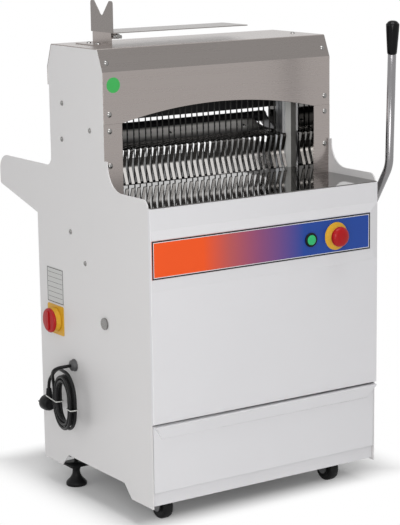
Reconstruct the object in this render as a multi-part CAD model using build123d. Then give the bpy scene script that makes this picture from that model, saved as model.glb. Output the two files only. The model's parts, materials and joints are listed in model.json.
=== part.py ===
from build123d import *
import math
import os

os.makedirs("parts", exist_ok=True)

# Floor-standing bread slicer. While it is drawn, X runs across the machine from its middle, Y from the
# front edges of the side panels towards the back, and Z up from the floor. All sizes are in millimetres.

# Sheets and fits
side_t = 3.0  # side panels and beams' end walls
sheet_t = 2.0  # folded covers, tables, liners
seat = 0.3  # between pieces that sit beside each other
running = 0.05  # radial clearance of a shaft in its bore
press = 0.02  # radial clearance of a piece fixed on its shaft

# Cabinet
cabinet_w = 640.0  # over the side panels
cabinet_depth = 508.0  # side panels' lower part
skirt_z = 58.0  # underside of the skirts at the corners
recess_z = 89.0  # underside between the skirts
front_skirt_y = 94.0
rear_skirt_y = 419.0
skirt_run = 31.0  # slope between skirt and recess
half_w = cabinet_w / 2
inner_x = half_w - side_t

# Upper outline of the side panels
table_z = 752.0  # bread level
cheek_rise = 17.0
cheek_r = 20.0
throat_r = 58.0  # hollow curve from cheek to column
throat_y = 170.0
column_y = 180.0  # front of hood and infill plates
column_step_z = table_z + 83
column_rear_y = 432.0
wing_y = 698.0
wing_z = table_z + 45
wing_low_z = table_z - 78
wing_tip_z = table_z - 28
wing_r = 38.0
wing_low_r = 8.0
wing_fillet = 22.0

# Hood, one bent sheet with an arched visor
top_z = table_z + 335
fold_z = table_z + 283
top_front_y = 202.0
top_rear_y = 417.0
rear_fold_z = table_z + 280
rear_lip_z = table_z + 238
hood_rear_y = 438.0
valance_z = table_z + 138  # lower edge of the hood's rear, between the side panels
visor_z = table_z + 166
opening_half = 272.0
arch_rise = 31.0

# Front
panel_proud = 8.0  # front panel before the side panels
panel_low_z = 261.0
field_rise = 4.0  # raised control field
field_low_z, field_high_z = 564.0, 701.0
strip_low_z, strip_high_z = 592.0, 679.0
strip_left_x, strip_right_x = -317.0, 293.0
strip_t = 1.0
plinth_low_z, plinth_high_z = 63.0, 93.0
plinth_back = 7.0

# Crumb drawer
drawer_low_z, drawer_high_z = 94.0, 254.0
drawer_face_half = half_w - 5
drawer_depth = 420.0
drawer_wall = 1.5
drawer_box_half = half_w - 16
drawer_box_z = 240.0
drawer_floor_z = 98.0
lip_drop = 33.0
lip_reach = 15.0
lip_mitre = 22.0
runner_h = 26.0
runner_lap = 12.0

# Controls
start_x, start_z = 117.0, 633.0
bezel_r, bezel_t = 17.0, 4.0
cap_r, cap_proud = 12.0, 2.0
start_travel = 3.0
estop_x, estop_z = 191.0, 634.0
disc_r, disc_t = 33.0, 1.5
collar_r, collar_t = 14.0, 6.0
head_r, head_t = 22.0, 19.0
stem_r = 8.0
estop_travel = 4.0
knob_y, knob_z = 429.0, 422.0
knob_r, knob_t = 32.0, 14.0
knob_bar_t, knob_bar_h = 10.0, 14.0
switch_w, switch_h, switch_t = 77.0, 72.0, 2.0
rating_low_z, rating_high_z = 462.0, 549.0
rating_t = 0.8
box_w, box_d, box_h = 170.0, 70.0, 110.0

# Blades and their two frames
blade_count = 32  # shared by the two frames
blade_pitch = 16.5
blade_t, blade_depth = 0.8, 6.0
blade_y = 320.0  # between the two frames
frame_gap = 4.0
bar_depth = 12.0
bar_h = 25.0
side_bar_w = 8.0
frame_half = 277.0
frame_low_z, frame_high_z = table_z - 62, table_z + 228
throw = 10.0  # half of the blade stroke, which the crank gives
post_w, post_lap = 15.7, 17.0
post_high_z = frame_high_z
liner_rear_y = 400.0
liner_high_z = frame_high_z + 5

# Crank drive
crank_z = 560.0
crank_r = 10.0
disc_r_crank, disc_t_crank = 24.0, 10.0
disc_outer_x = 85.0
crank_pin_r, crank_pin_proud = 8.0, 0.5
lug_w, lug_over = 12.0, 11.0
rod_t, rod_w = 8.0, 14.0
rod_big_r, rod_small_r = 14.0, 9.0
wrist_r, wrist_drop = 4.0, 13.0
rod_side_gap = 0.5
rod_disc_gap = 1.0
stand_x, stand_w, stand_d = 57.0, 24.0, 60.0
stand_over = 30.0
pulley_w = 25.0
crank_pulley_r, motor_pulley_r = 60.0, 30.0
belt_t, belt_w = 4.0, 21.0
shelf_z, shelf_t = 290.0, 4.0
shelf_front_y = 150.0
motor_y, motor_r = 225.0, 62.0
motor_left_x, motor_right_x = -250.0, -38.0
motor_base_h, motor_base_w = 16.0, 100.0
motor_nose_r, motor_nose_len = 20.0, 20.0
motor_shaft_r = 9.5

# Pusher
finger_w, finger_t = 8.0, 3.0
finger_front_y, finger_mid_y = 290.0, 303.0
knuckle_r = 5.0
finger_low_z, finger_mid_z, finger_high_z = table_z + 5, table_z + 43, table_z + 86
comb_bar_y, comb_bar_d, comb_bar_h = 345.0, 8.0, 12.0
guard_r, guard_angle, guard_t = 62.0, 55.0, 1.5
guard_half, guard_mitre = 268.0, 28.0
plate_x, plate_t = 280.0, 6.0
upright_d = 28.0
drag_low_z, drag_h, drag_leg = table_z - 52, 22.0, 20.0
rail_x, rail_z, rail_r = 300.0, table_z - 27, 8.0
block_half, block_len = 14.0, 50.0
block_y = 335.0
pusher_travel = 220.0
pin_r, pin_len, pin_play = 6.0, 14.0, 4.0
pin_z = table_z - 97
front_bar_y, front_bar_d, front_bar_h = 20.0, 12.0, 50.0
rear_bar_y, rear_bar_d, rear_bar_h = 640.0, 12.0, 34.0
strut_x, strut_w, strut_d = 210.0, 40.0, 6.0
push_tube_y, push_tube_z, push_tube_r = 415.0, table_z + 120, 13.0
push_tube_half = 290.0

# Tables
table_t = 2.0
table_lap = 3.0  # from the tables' edges to the nearer blade frame
rear_table_half = 276.0
rear_table_y = 690.0
rear_flange_h = 25.0

# Feed lever, outside the right panel
pivot_y, pivot_z = 195.0, 455.0
lever_x = 350.0
shaft_r = 10.0
tube_r = 10.0
bend_y, bend_z, bend_r = -13.0, 785.0, 70.0
lever_top_y, lever_top_z = -23.0, 1130.0
grip_len, grip_top_r, grip_low_r = 78.0, 16.5, 11.5
grip_cap = 8.0
hub_r, hub_len = 18.0, 32.0
arm_x, arm_t, arm_w = 290.0, 8.0, 36.0
arm_end = 10.0
bush_r, bush_len = 17.0, 14.0
cap_disc_r, cap_disc_t = 14.0, 4.0
shaft_hole_r = 12.0

# Feet
caster_x, caster_y = 242.0, 88.0
wheel_r, wheel_w = 33.0, 24.0
axle_r = 4.0
fork_t, fork_gap, fork_plate = 3.0, 2.0, 60.0
foot_x, foot_y = 283.0, 418.0
foot_r, foot_h, neck_r, neck_h, stem_foot_r = 26.0, 26.0, 9.0, 10.0, 5.0
nut_r, nut_h = 9.0, 8.0
bracket_w, bracket_t = 66.0, 4.0

# Bag bracket and tray on the top
bracket_x = -232.0
leg_front_y, leg_rear_y = 287.0, 372.0
leg_h = 27.0
flange_w = 46.0
tray_front_y, tray_rear_y = 265.0, 375.0
tray_right_x, tray_corner_r = 140.0, 6.0
fork_front_y, fork_rear_y = 280.0, 379.0
fork_tip_z, notch_z = 1187.0, 1149.0
notch_r, prong_r, prong_w = 9.0, 6.0, 15.0
clamp_r, clamp_head_r, clamp_head_t, clamp_len = 3.0, 7.0, 8.0, 10.0

# Screws
dome_r, dome_h = 6.5, 3.5
hood_screw_x = 305.0
front_screw_zs = (table_z + 71, table_z + 150, table_z + 188)
facet_screw_z = table_z + 304
top_screw_x, top_screw_y = 286.0, 285.0
side_screws = (
    (371.0, table_z + 199), (244.5, table_z + 146.5), (376.0, table_z + 114),
    (347.0, table_z - 103), (281.0, table_z - 169),
)

# Mains lead: gland, coil hanging beside the left panel, plug
lead_d = 8.0
gland_y, gland_z = 345.0, 325.0
gland_r, gland_flange_t, gland_nose_r, gland_len = 15.0, 5.0, 9.0, 12.0
coil_x, coil_y, coil_z = -356.0, 335.0, 243.0
coil_yaw = -8.0
coil_r = 56.0  # outermost turn's centre line
coil_straight = 24.0
coil_pitch = 9.8
coil_layer = 10.0
turns_in = 2
arc_share = 0.45
sample_step = 3.0
square_run = 17.0  # straight part where a lead meets the coil or the plug
lead_in_route = (
    (-346.0, 345.0, 325.0),
    (-358.0, 352.0, 323.0),
    (-365.0, 363.5, 317.0),
    (-364.5, 375.0, 307.5),
    (-359.5, 385.0, 293.0),
)
lead_out_route = (
    (-344.5, 380.0, 312.5),
    (-341.5, 402.0, 303.0),
    (-341.0, 421.0, 287.5),
)
plug_y, plug_z, plug_x = 427.0, 213.0, -343.0
plug_r, plug_len = 19.0, 28.0
neck_plug_r, neck_plug_h = 7.5, 20.0
pin_plug_r, pin_plug_len, pin_plug_gap = 2.4, 19.0, 19.0
tie_w, tie_t, tie_drop = 2.6, 1.0, -8.0


def block(x0, x1, y0, y1, z0, z1):
    """A box between two corners."""
    centre = ((x0 + x1) / 2, (y0 + y1) / 2, (z0 + z1) / 2)
    return Pos(*centre) * Box(abs(x1 - x0), abs(y1 - y0), abs(z1 - z0))


def rod_x(radius, x0, x1, y, z):
    """A round bar along X."""
    return Pos((x0 + x1) / 2, y, z) * Rot(0, 90, 0) * Cylinder(radius, abs(x1 - x0))


def rod_y(radius, y0, y1, x, z):
    """A round bar along Y."""
    return Pos(x, (y0 + y1) / 2, z) * Rot(90, 0, 0) * Cylinder(radius, abs(y1 - y0))


def rod_z(radius, z0, z1, x, y):
    """A round bar along Z."""
    return Pos(x, y, (z0 + z1) / 2) * Cylinder(radius, abs(z1 - z0))


def mirrored(piece):
    """The piece and its mirror image across the machine's middle."""
    return [piece, mirror(piece, about=Plane.YZ)]


def offset_points(points, t):
    """Mitred offset of an open line to its right-hand side."""
    normals = []
    for (y0, z0), (y1, z1) in zip(points, points[1:]):
        length = math.hypot(y1 - y0, z1 - z0)
        normals.append(((z1 - z0) / length, -(y1 - y0) / length))
    out = []
    for i, (y, z) in enumerate(points):
        a = normals[max(i - 1, 0)]
        b = normals[min(i, len(normals) - 1)]
        scale = t / (1 + a[0] * b[0] + a[1] * b[1])
        out.append((y + (a[0] + b[0]) * scale, z + (a[1] + b[1]) * scale))
    return out


def side_face(points, radii=None):
    """A closed outline in the YZ plane, with its corners rounded."""
    corners = [(0, y, z) for y, z in points]
    if radii:
        return make_face(FilletPolyline(*corners, radius=radii, close=True))
    return make_face(Polyline(*corners, close=True))


def across(face, x0, x1):
    """A YZ face at X = 0 pushed out between two places along X."""
    return Pos(x0, 0, 0) * extrude(face, amount=x1 - x0, dir=(1, 0, 0))


def bent_sheet(points, t, x0, x1):
    """A folded sheet whose section is an open line with thickness on its right-hand side."""
    return across(side_face(points + offset_points(points, t)[::-1]), x0, x1)


def dome_screw(radius=dome_r, height=dome_h):
    """A dome head standing on Z = 0."""
    ball = (radius**2 + height**2) / (2 * height)
    return (Pos(0, 0, height - ball) * Sphere(ball)) & (Pos(0, 0, height / 2) * Cylinder(radius, height))


def facing_front(piece, x, y, z):
    """Turns a piece drawn along +Z so that it looks out of the front."""
    return Pos(x, y, z) * Rot(90, 0, 0) * piece


parts = {}
cord_nodes = ["lead_to_coil", "mains_coil", "lead_to_plug", "mains_plug", "cable_ties"]

# Hood section, from the visor's lower edge over the top to the rear lip
hood_line = [
    (column_y, visor_z),
    (column_y, fold_z),
    (top_front_y, top_z),
    (top_rear_y, top_z),
    (hood_rear_y, rear_fold_z),
    (hood_rear_y, rear_lip_z),
]
hood_inside = offset_points(hood_line, sheet_t)


def build_side_panels():
    cheek_z = table_z + cheek_rise
    outline = [
        (0, skirt_z, 0),
        (front_skirt_y, skirt_z, 0),
        (front_skirt_y + skirt_run, recess_z, 0),
        (rear_skirt_y - skirt_run, recess_z, 0),
        (rear_skirt_y, skirt_z, 0),
        (cabinet_depth, skirt_z, 0),
        (cabinet_depth, wing_low_z, 0),
        (wing_y, wing_tip_z, wing_low_r),
        (wing_y, wing_z, wing_r),
        (column_rear_y, wing_z, wing_fillet),
        (column_rear_y, rear_lip_z, 0),
        *[(y, z, 0) for y, z in hood_inside[:0:-1]],
        (column_y + sheet_t, column_step_z, 0),
        (throat_y, column_step_z, 0),
        (throat_y, cheek_z, throat_r),
        (0, cheek_z, cheek_r),
    ]
    face = side_face([p[:2] for p in outline], [p[2] for p in outline])
    right = across(face, inner_x, half_w)
    right -= rod_x(shaft_hole_r, inner_x - 1, half_w + 1, pivot_y, pivot_z)
    parts["right_side_panel"] = right
    parts["left_side_panel"] = mirror(right, about=Plane.YZ)


def build_front():
    back = sheet_t
    panel_top = table_z - table_t
    panel = block(-half_w, half_w, -panel_proud, 0, panel_low_z, panel_top)
    panel -= block(back - half_w, half_w - back, back - panel_proud, 1, panel_low_z + back, panel_top - back)
    base = Plane.XZ.offset(panel_proud) * Pos(0, (field_low_z + field_high_z) / 2) * Rectangle(
        cabinet_w, field_high_z - field_low_z
    )
    top_left, top_right = strip_left_x - sheet_t, strip_right_x + sheet_t
    raised = Plane.XZ.offset(panel_proud + field_rise) * Pos(
        (top_left + top_right) / 2, (strip_low_z + strip_high_z) / 2
    ) * Rectangle(top_right - top_left, strip_high_z - strip_low_z + 2 * sheet_t)
    panel += loft([base.face(), raised.face()], ruled=True)
    front_y = -panel_proud - field_rise
    strip = block(strip_left_x, strip_right_x, front_y - strip_t, front_y, strip_low_z, strip_high_z)
    holes = rod_y(cap_r + seat, front_y - 2 * strip_t, 0, start_x, start_z)
    holes += rod_y(stem_r + seat, front_y - 2 * strip_t, 0, estop_x, estop_z)
    parts["front_panel"] = panel - holes
    parts["control_strip"] = strip - holes
    parts["plinth"] = block(
        seat - inner_x, inner_x - seat, plinth_back, plinth_back + sheet_t, plinth_low_z, plinth_high_z
    )
    return front_y - strip_t


def build_controls(face_y):
    bezel = rod_y(bezel_r, face_y - bezel_t, face_y, start_x, start_z)
    bezel = chamfer(bezel.edges().filter_by(GeomType.CIRCLE).sort_by(Axis.Y)[0], bezel_t / 3)
    bezel -= rod_y(cap_r + seat, face_y - 2 * bezel_t, face_y + 1, start_x, start_z)
    parts["button_bezel"] = bezel
    cap = rod_y(cap_r, face_y - bezel_t - cap_proud, face_y + strip_t, start_x, start_z)
    parts["start_button"] = fillet(cap.edges().filter_by(GeomType.CIRCLE).sort_by(Axis.Y)[0], cap_proud / 2)

    disc_y = face_y - disc_t
    collar = rod_y(collar_r, disc_y - collar_t, disc_y, estop_x, estop_z)
    hole = rod_y(stem_r + seat, disc_y - 2 * collar_t, face_y + 1, estop_x, estop_z)
    parts["estop_disc"] = rod_y(disc_r, disc_y, face_y, estop_x, estop_z) + collar - hole
    head_back = disc_y - collar_t - estop_travel - seat
    head = rod_y(head_r, head_back - head_t, head_back, estop_x, estop_z)
    edges = head.edges().filter_by(GeomType.CIRCLE).sort_by(Axis.Y)
    head = fillet(edges[0], head_t * 0.45)
    head = chamfer(head.edges().filter_by(GeomType.CIRCLE).sort_by(Axis.Y)[-1], head_t * 0.3)
    stem_end = -panel_proud - field_rise + 1
    parts["estop_head"] = head + rod_y(stem_r, head_back, stem_end, estop_x, estop_z)

    box_mid = (start_x + estop_x) / 2
    box_front = sheet_t - panel_proud
    shell = block(
        box_mid - box_w / 2, box_mid + box_w / 2, box_front, box_front + box_d,
        start_z - box_h / 2, start_z + box_h / 2,
    )
    parts["control_box"] = fillet(shell.edges().filter_by(Axis.Y), sheet_t * 2)

    plate = block(
        -half_w - switch_t, -half_w, knob_y - switch_w / 2, knob_y + switch_w / 2,
        knob_z - switch_h / 2, knob_z + switch_h / 2,
    )
    parts["switch_plate"] = fillet(plate.edges().filter_by(Axis.X), switch_t)
    knob_x = -half_w - switch_t - seat
    knob = rod_x(knob_r, knob_x - knob_t, knob_x, knob_y, knob_z)
    knob = chamfer(knob.edges().filter_by(GeomType.CIRCLE).sort_by(Axis.X)[0], knob_t / 4)
    bar = block(
        knob_x - knob_t - knob_bar_t, knob_x - knob_t, knob_y - knob_bar_h / 2, knob_y + knob_bar_h / 2,
        knob_z - knob_r + knob_t / 2, knob_z + knob_r - knob_t / 2,
    )
    bar = fillet(bar.edges().filter_by(Axis.X), knob_bar_h / 3)
    parts["switch_knob"] = knob + bar
    parts["rating_plate"] = block(
        -half_w - rating_t, -half_w, knob_y - switch_w / 2, knob_y + switch_w / 2, rating_low_z, rating_high_z
    )


def build_hood():
    hood = bent_sheet(hood_line, sheet_t, -half_w, half_w)
    arch_r = (opening_half**2 + arch_rise**2) / (2 * arch_rise)
    arch = rod_y(arch_r, column_y - 1, column_y + 2 * sheet_t, 0, visor_z + arch_rise - arch_r)
    window = block(-opening_half, opening_half, column_y - 1, column_y + 2 * sheet_t, visor_z - 1, top_z)
    edge = inner_x - seat
    valance = block(-edge, edge, hood_rear_y - sheet_t, hood_rear_y, valance_z, rear_lip_z + sheet_t)
    parts["hood"] = hood - (arch & window) + valance
    corners = [
        (opening_half, table_z),
        (opening_half, visor_z),
        (half_w, visor_z),
        (half_w, column_step_z),
        (inner_x - seat, column_step_z),
        (inner_x - seat, table_z),
    ]
    outline = make_face(Polyline(*[(x, column_y, z) for x, z in corners], close=True))
    infill = extrude(outline, amount=sheet_t, dir=(0, 1, 0))
    parts["infill_plates"] = mirrored(infill)
    liner_x = frame_half + seat + post_w
    liner_front = column_y + sheet_t
    liner = block(liner_x, liner_x + sheet_t, liner_front, liner_rear_y, table_z, liner_high_z)
    parts["column_liners"] = mirrored(liner)
    post = block(
        frame_half + seat, liner_x, blade_y - post_lap, blade_y + post_lap, table_z, post_high_z
    )
    parts["guide_posts"] = mirrored(post)


def build_tables():
    gap_front = blade_y - frame_gap / 2 - bar_depth - table_lap
    gap_rear = blade_y + frame_gap / 2 + bar_depth + table_lap
    low = table_z - table_t
    edge = inner_x - seat
    parts["front_table"] = block(-edge, edge, -panel_proud, gap_front, low, table_z)
    rear_line = [(gap_rear, table_z), (rear_table_y, table_z), (rear_table_y, table_z - rear_flange_h)]
    parts["rear_table"] = bent_sheet(rear_line, table_t, -rear_table_half, rear_table_half)
    front_bar = block(-inner_x, inner_x, front_bar_y, front_bar_y + front_bar_d, low - front_bar_h, low)
    rear_bar = block(-inner_x, inner_x, rear_bar_y, rear_bar_y + rear_bar_d, low - rear_bar_h, low)
    struts = mirrored(
        block(
            strut_x - strut_w / 2, strut_x + strut_w / 2, gap_rear, gap_rear + strut_d,
            shelf_z + shelf_t, low,
        )
    )
    parts["cross_beams"] = [front_bar, rear_bar, *struts]


def build_base():
    floor = block(
        -inner_x, inner_x, plinth_back + sheet_t, cabinet_depth - side_t, recess_z, recess_z + side_t
    )
    bracket_x0 = foot_x - bracket_w / 2
    bracket = block(
        bracket_x0, inner_x, foot_y - bracket_w / 2, foot_y + bracket_w / 2, recess_z - bracket_t, recess_z
    )
    parts["base_plate"] = floor + bracket + mirror(bracket, about=Plane.YZ)
    rear_y = cabinet_depth - side_t
    rise = (wing_tip_z - wing_low_z) / (wing_y - cabinet_depth)
    tip_z = wing_low_z + rise * (rear_table_y - cabinet_depth)
    rear_line = [(rear_table_y, tip_z), (cabinet_depth, wing_low_z), (cabinet_depth, recess_z)]
    parts["rear_panel"] = bent_sheet(rear_line, side_t, -inner_x, inner_x)
    parts["motor_shelf"] = block(-inner_x, inner_x, shelf_front_y, rear_y, shelf_z, shelf_z + shelf_t)


def build_drawer():
    half = drawer_box_half
    face = block(-drawer_face_half, drawer_face_half, 0, sheet_t, drawer_low_z, drawer_high_z)
    tray = block(-half, half, sheet_t, drawer_depth, drawer_floor_z, drawer_box_z)
    wall = drawer_wall
    tray -= block(wall - half, half - wall, sheet_t, drawer_depth - wall, drawer_floor_z + wall, drawer_box_z + 1)
    lip_section = side_face([(0, drawer_high_z), (-lip_reach, drawer_high_z), (0, drawer_high_z - lip_drop)])
    lip = across(lip_section, -drawer_face_half, drawer_face_half)
    for sign in (-1, 1):
        corner = [
            (sign * drawer_face_half, drawer_high_z),
            (sign * (drawer_face_half - lip_mitre), drawer_high_z - lip_drop),
            (sign * drawer_face_half, drawer_high_z - lip_drop),
        ]
        wedge = make_face(Polyline(*[(x, -lip_reach, z) for x, z in corner], close=True))
        lip -= extrude(wedge, amount=lip_reach, dir=(0, 1, 0))
    parts["crumb_drawer"] = face + tray + lip
    runner_low = drawer_floor_z - sheet_t
    runner = block(half - runner_lap, inner_x, sheet_t * 2, drawer_depth, runner_low - sheet_t, runner_low)
    runner += block(half + seat, inner_x, sheet_t * 2, drawer_depth, runner_low, runner_low + runner_h)
    parts["drawer_runners"] = mirrored(Pos(0, 0, sheet_t - seat) * runner)


def link(low_end, high_end, low_r, high_r, width, x0, x1):
    """A flat rod with a round eye at each end, in the YZ plane."""
    angle = math.atan2(high_end[0] - low_end[0], high_end[1] - low_end[1])
    dy, dz = math.cos(angle) * width / 2, math.sin(angle) * width / 2
    bar = [
        (low_end[0] - dy, low_end[1] + dz),
        (low_end[0] + dy, low_end[1] - dz),
        (high_end[0] + dy, high_end[1] - dz),
        (high_end[0] - dy, high_end[1] + dz),
    ]
    return rod_x(low_r, x0, x1, *low_end) + rod_x(high_r, x0, x1, *high_end) + across(side_face(bar), x0, x1)


def build_blade_frame(letter, sign):
    """One blade frame, its blades and its connecting rod; the frame in front has sign -1."""
    middle = blade_y + sign * (frame_gap + bar_depth) / 2
    y0, y1 = middle - bar_depth / 2, middle + bar_depth / 2
    clear_x = frame_half - side_bar_w
    clear_low, clear_high = frame_low_z + bar_h, frame_high_z - bar_h
    frame = block(-frame_half, frame_half, y0, y1, frame_low_z, frame_high_z)
    frame -= block(-clear_x, clear_x, y0 - 1, y1 + 1, clear_low, clear_high)

    wrist = (middle, frame_low_z - wrist_drop)
    crank_pin = (blade_y + sign * throw, crank_z)
    rod_near = disc_outer_x + rod_disc_gap
    rod_far = rod_near + rod_t
    lug_near = rod_far + rod_side_gap
    lug_low = wrist[1] - lug_over
    lug = block(lug_near, lug_near + lug_w, y0, y1, lug_low, frame_low_z)
    lug += rod_x(wrist_r, rod_near, lug_near, *wrist)
    rod = link(crank_pin, wrist, rod_big_r, rod_small_r, rod_w, rod_near, rod_far)
    rod -= rod_x(wrist_r + running, rod_near - 1, rod_far + 1, *wrist)
    rod -= rod_x(crank_pin_r + seat, rod_near - 1, rod_far + 1, *crank_pin)
    if sign < 0:
        lug = mirror(lug, about=Plane.YZ)
        rod = mirror(rod, about=Plane.YZ)
    parts[f"blade_frame_{letter}"] = frame + lug
    parts[f"rod_{letter}"] = rod

    blades = []
    lean_y = blade_y - sign * (frame_gap / 2 - seat)
    back_y = lean_y + sign * blade_depth
    first = 0 if sign < 0 else 1
    for i in range(first, blade_count, 2):
        x = (i - (blade_count - 1) / 2) * blade_pitch
        half_t = blade_t / 2
        blades.append(block(x - half_t, x + half_t, min(lean_y, back_y), max(lean_y, back_y), clear_low, clear_high))
    parts[f"blades_{letter}"] = blades


def build_drive():
    shaft = rod_x(crank_r, -disc_outer_x, disc_outer_x, blade_y, crank_z)
    for sign in (-1, 1):
        inner, outer = sign * (disc_outer_x - disc_t_crank), sign * disc_outer_x
        shaft += rod_x(disc_r_crank, inner, outer, blade_y, crank_z)
        shaft += rod_x(crank_pin_r, inner, outer + sign * crank_pin_proud, blade_y + sign * throw, crank_z)
    parts["crankshaft"] = shaft

    shelf_top = shelf_z + shelf_t
    stand = block(
        stand_x - stand_w / 2, stand_x + stand_w / 2, blade_y - stand_d / 2, blade_y + stand_d / 2,
        shelf_top, crank_z + stand_over,
    )
    stand = fillet(stand.edges().filter_by(Axis.X).group_by(Axis.Z)[-1], stand_d / 3)
    stand -= rod_x(crank_r + running, stand_x - stand_w, stand_x + stand_w, blade_y, crank_z)
    parts["shaft_stands"] = mirrored(stand)

    pulley = rod_x(crank_pulley_r, -pulley_w / 2, pulley_w / 2, blade_y, crank_z)
    parts["crank_pulley"] = pulley - rod_x(crank_r + press, -pulley_w, pulley_w, blade_y, crank_z)

    motor_z = shelf_top + motor_base_h + motor_r
    nose_x = motor_right_x + motor_nose_len
    motor = rod_x(motor_r, motor_left_x, motor_right_x, motor_y, motor_z)
    motor = chamfer(motor.edges().filter_by(GeomType.CIRCLE), motor_r / 10)
    motor += rod_x(motor_nose_r, motor_right_x, nose_x, motor_y, motor_z)
    foot_inset = (motor_right_x - motor_left_x) / 6
    motor += block(
        motor_left_x + foot_inset, motor_right_x - foot_inset, motor_y - motor_base_w / 2,
        motor_y + motor_base_w / 2, shelf_top, shelf_top + 2 * motor_base_h,
    )
    socket_x = nose_x - 2 * motor_nose_len
    motor -= rod_x(motor_shaft_r + running, socket_x, nose_x + 1, motor_y, motor_z)
    parts["motor"] = motor
    motor_pulley = rod_x(motor_pulley_r, -pulley_w / 2, pulley_w / 2, motor_y, motor_z)
    parts["motor_pulley"] = motor_pulley + rod_x(motor_shaft_r, socket_x + seat, 0, motor_y, motor_z)

    wheels = ((blade_y, crank_z, crank_pulley_r), (motor_y, motor_z, motor_pulley_r))
    outside, inside = (belt_loop(wheels, gap) for gap in (seat + belt_t, seat))
    parts["drive_belt"] = across(outside - inside, -belt_w / 2, belt_w / 2)


def belt_loop(wheels, gap):
    """The face inside a belt that lies a gap away from two wheels."""
    (y0, z0, r0), (y1, z1, r1) = wheels
    r0, r1 = r0 + gap, r1 + gap
    span = math.hypot(y1 - y0, z1 - z0)
    along = math.atan2(z1 - z0, y1 - y0)
    swing = math.acos((r0 - r1) / span)
    touches = []
    for side in (1, -1):
        a = along + side * swing
        touches.append(((y0 + r0 * math.cos(a), z0 + r0 * math.sin(a)), (y1 + r1 * math.cos(a), z1 + r1 * math.sin(a))))
    ring0 = Plane.YZ * Pos(y0, z0) * Circle(r0)
    ring1 = Plane.YZ * Pos(y1, z1) * Circle(r1)
    (a0, a1), (b0, b1) = touches
    return ring0 + ring1 + side_face([a0, a1, b1, b0])


def build_pusher():
    line = [
        (comb_bar_y, finger_high_z),
        (finger_front_y, finger_high_z),
        (finger_mid_y, finger_mid_z),
        (finger_front_y, finger_low_z),
    ]
    finger = bent_sheet(line, finger_t, -finger_w / 2, finger_w / 2)
    finger += rod_x(knuckle_r, -finger_w / 2, finger_w / 2, finger_front_y + knuckle_r - finger_t, finger_high_z)
    bar_low = finger_high_z + finger_t / 2 - comb_bar_h / 2
    comb = block(-plate_x, plate_x, comb_bar_y, comb_bar_y + comb_bar_d, bar_low, bar_low + comb_bar_h)
    for j in range(blade_count + 1):
        comb += Pos((j - blade_count / 2) * blade_pitch, 0, 0) * finger
    parts["pusher_comb"] = comb

    guard_y, guard_z = comb_bar_y, bar_low + comb_bar_h + guard_r
    sheet = rod_x(guard_r, -guard_half, guard_half, guard_y, guard_z)
    sheet -= rod_x(guard_r - guard_t, -guard_half, guard_half, guard_y, guard_z)
    bend = math.radians(guard_angle)
    reach = 2 * guard_r
    corner = reach / math.cos(bend / 2)
    sector = [
        (guard_y, guard_z),
        (guard_y, guard_z - reach),
        (guard_y + corner * math.sin(bend / 2), guard_z - corner * math.cos(bend / 2)),
        (guard_y + reach * math.sin(bend), guard_z - reach * math.cos(bend)),
    ]
    sheet = sheet & across(side_face(sector), -guard_half, guard_half)
    for sign in (-1, 1):
        cut = [
            (sign * guard_half, bar_low + comb_bar_h),
            (sign * guard_half, guard_z),
            (sign * (guard_half - guard_mitre), guard_z - guard_r * math.cos(bend)),
        ]
        wedge = make_face(Polyline(*[(x, guard_y - 1, z) for x, z in cut], close=True))
        sheet -= extrude(wedge, amount=reach, dir=(0, 1, 0))
    parts["pusher_guard"] = sheet

    pin_y = pivot_y - pusher_travel / 2
    upright_y = comb_bar_y + upright_d
    leg_low = pin_z - pin_r - sheet_t
    plate = block(plate_x, plate_x + plate_t, comb_bar_y, upright_y, drag_low_z, bar_low + comb_bar_h)
    plate += block(plate_x, plate_x + plate_t, pin_y - drag_leg / 2, upright_y, drag_low_z, drag_low_z + drag_h)
    plate += block(plate_x, plate_x + plate_t, pin_y - drag_leg / 2, pin_y + drag_leg / 2, leg_low, drag_low_z)
    plate += rod_x(pin_r, plate_x + plate_t, plate_x + plate_t + pin_len, pin_y, pin_z)

    slide = block(
        plate_x + plate_t, rail_x + block_half, block_y - block_len / 2, block_y + block_len / 2,
        rail_z - block_half, rail_z + block_half,
    )
    plate += slide - rod_y(rail_r + running, block_y - block_len, block_y + block_len, rail_x, rail_z)
    push_tube = (push_tube_y, push_tube_z)
    arm_start = (comb_bar_y + upright_d / 2, bar_low)
    plate += link(arm_start, push_tube, push_tube_r, push_tube_r, 2 * push_tube_r, plate_x, plate_x + plate_t)
    tube = rod_x(push_tube_r, -push_tube_half, push_tube_half, *push_tube)
    parts["pusher_plates"] = plate + mirror(plate, about=Plane.YZ) + tube
    rail = rod_y(rail_r, front_bar_y + front_bar_d, rear_bar_y, rail_x, rail_z)
    parts["pusher_rails"] = mirrored(rail)


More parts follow.
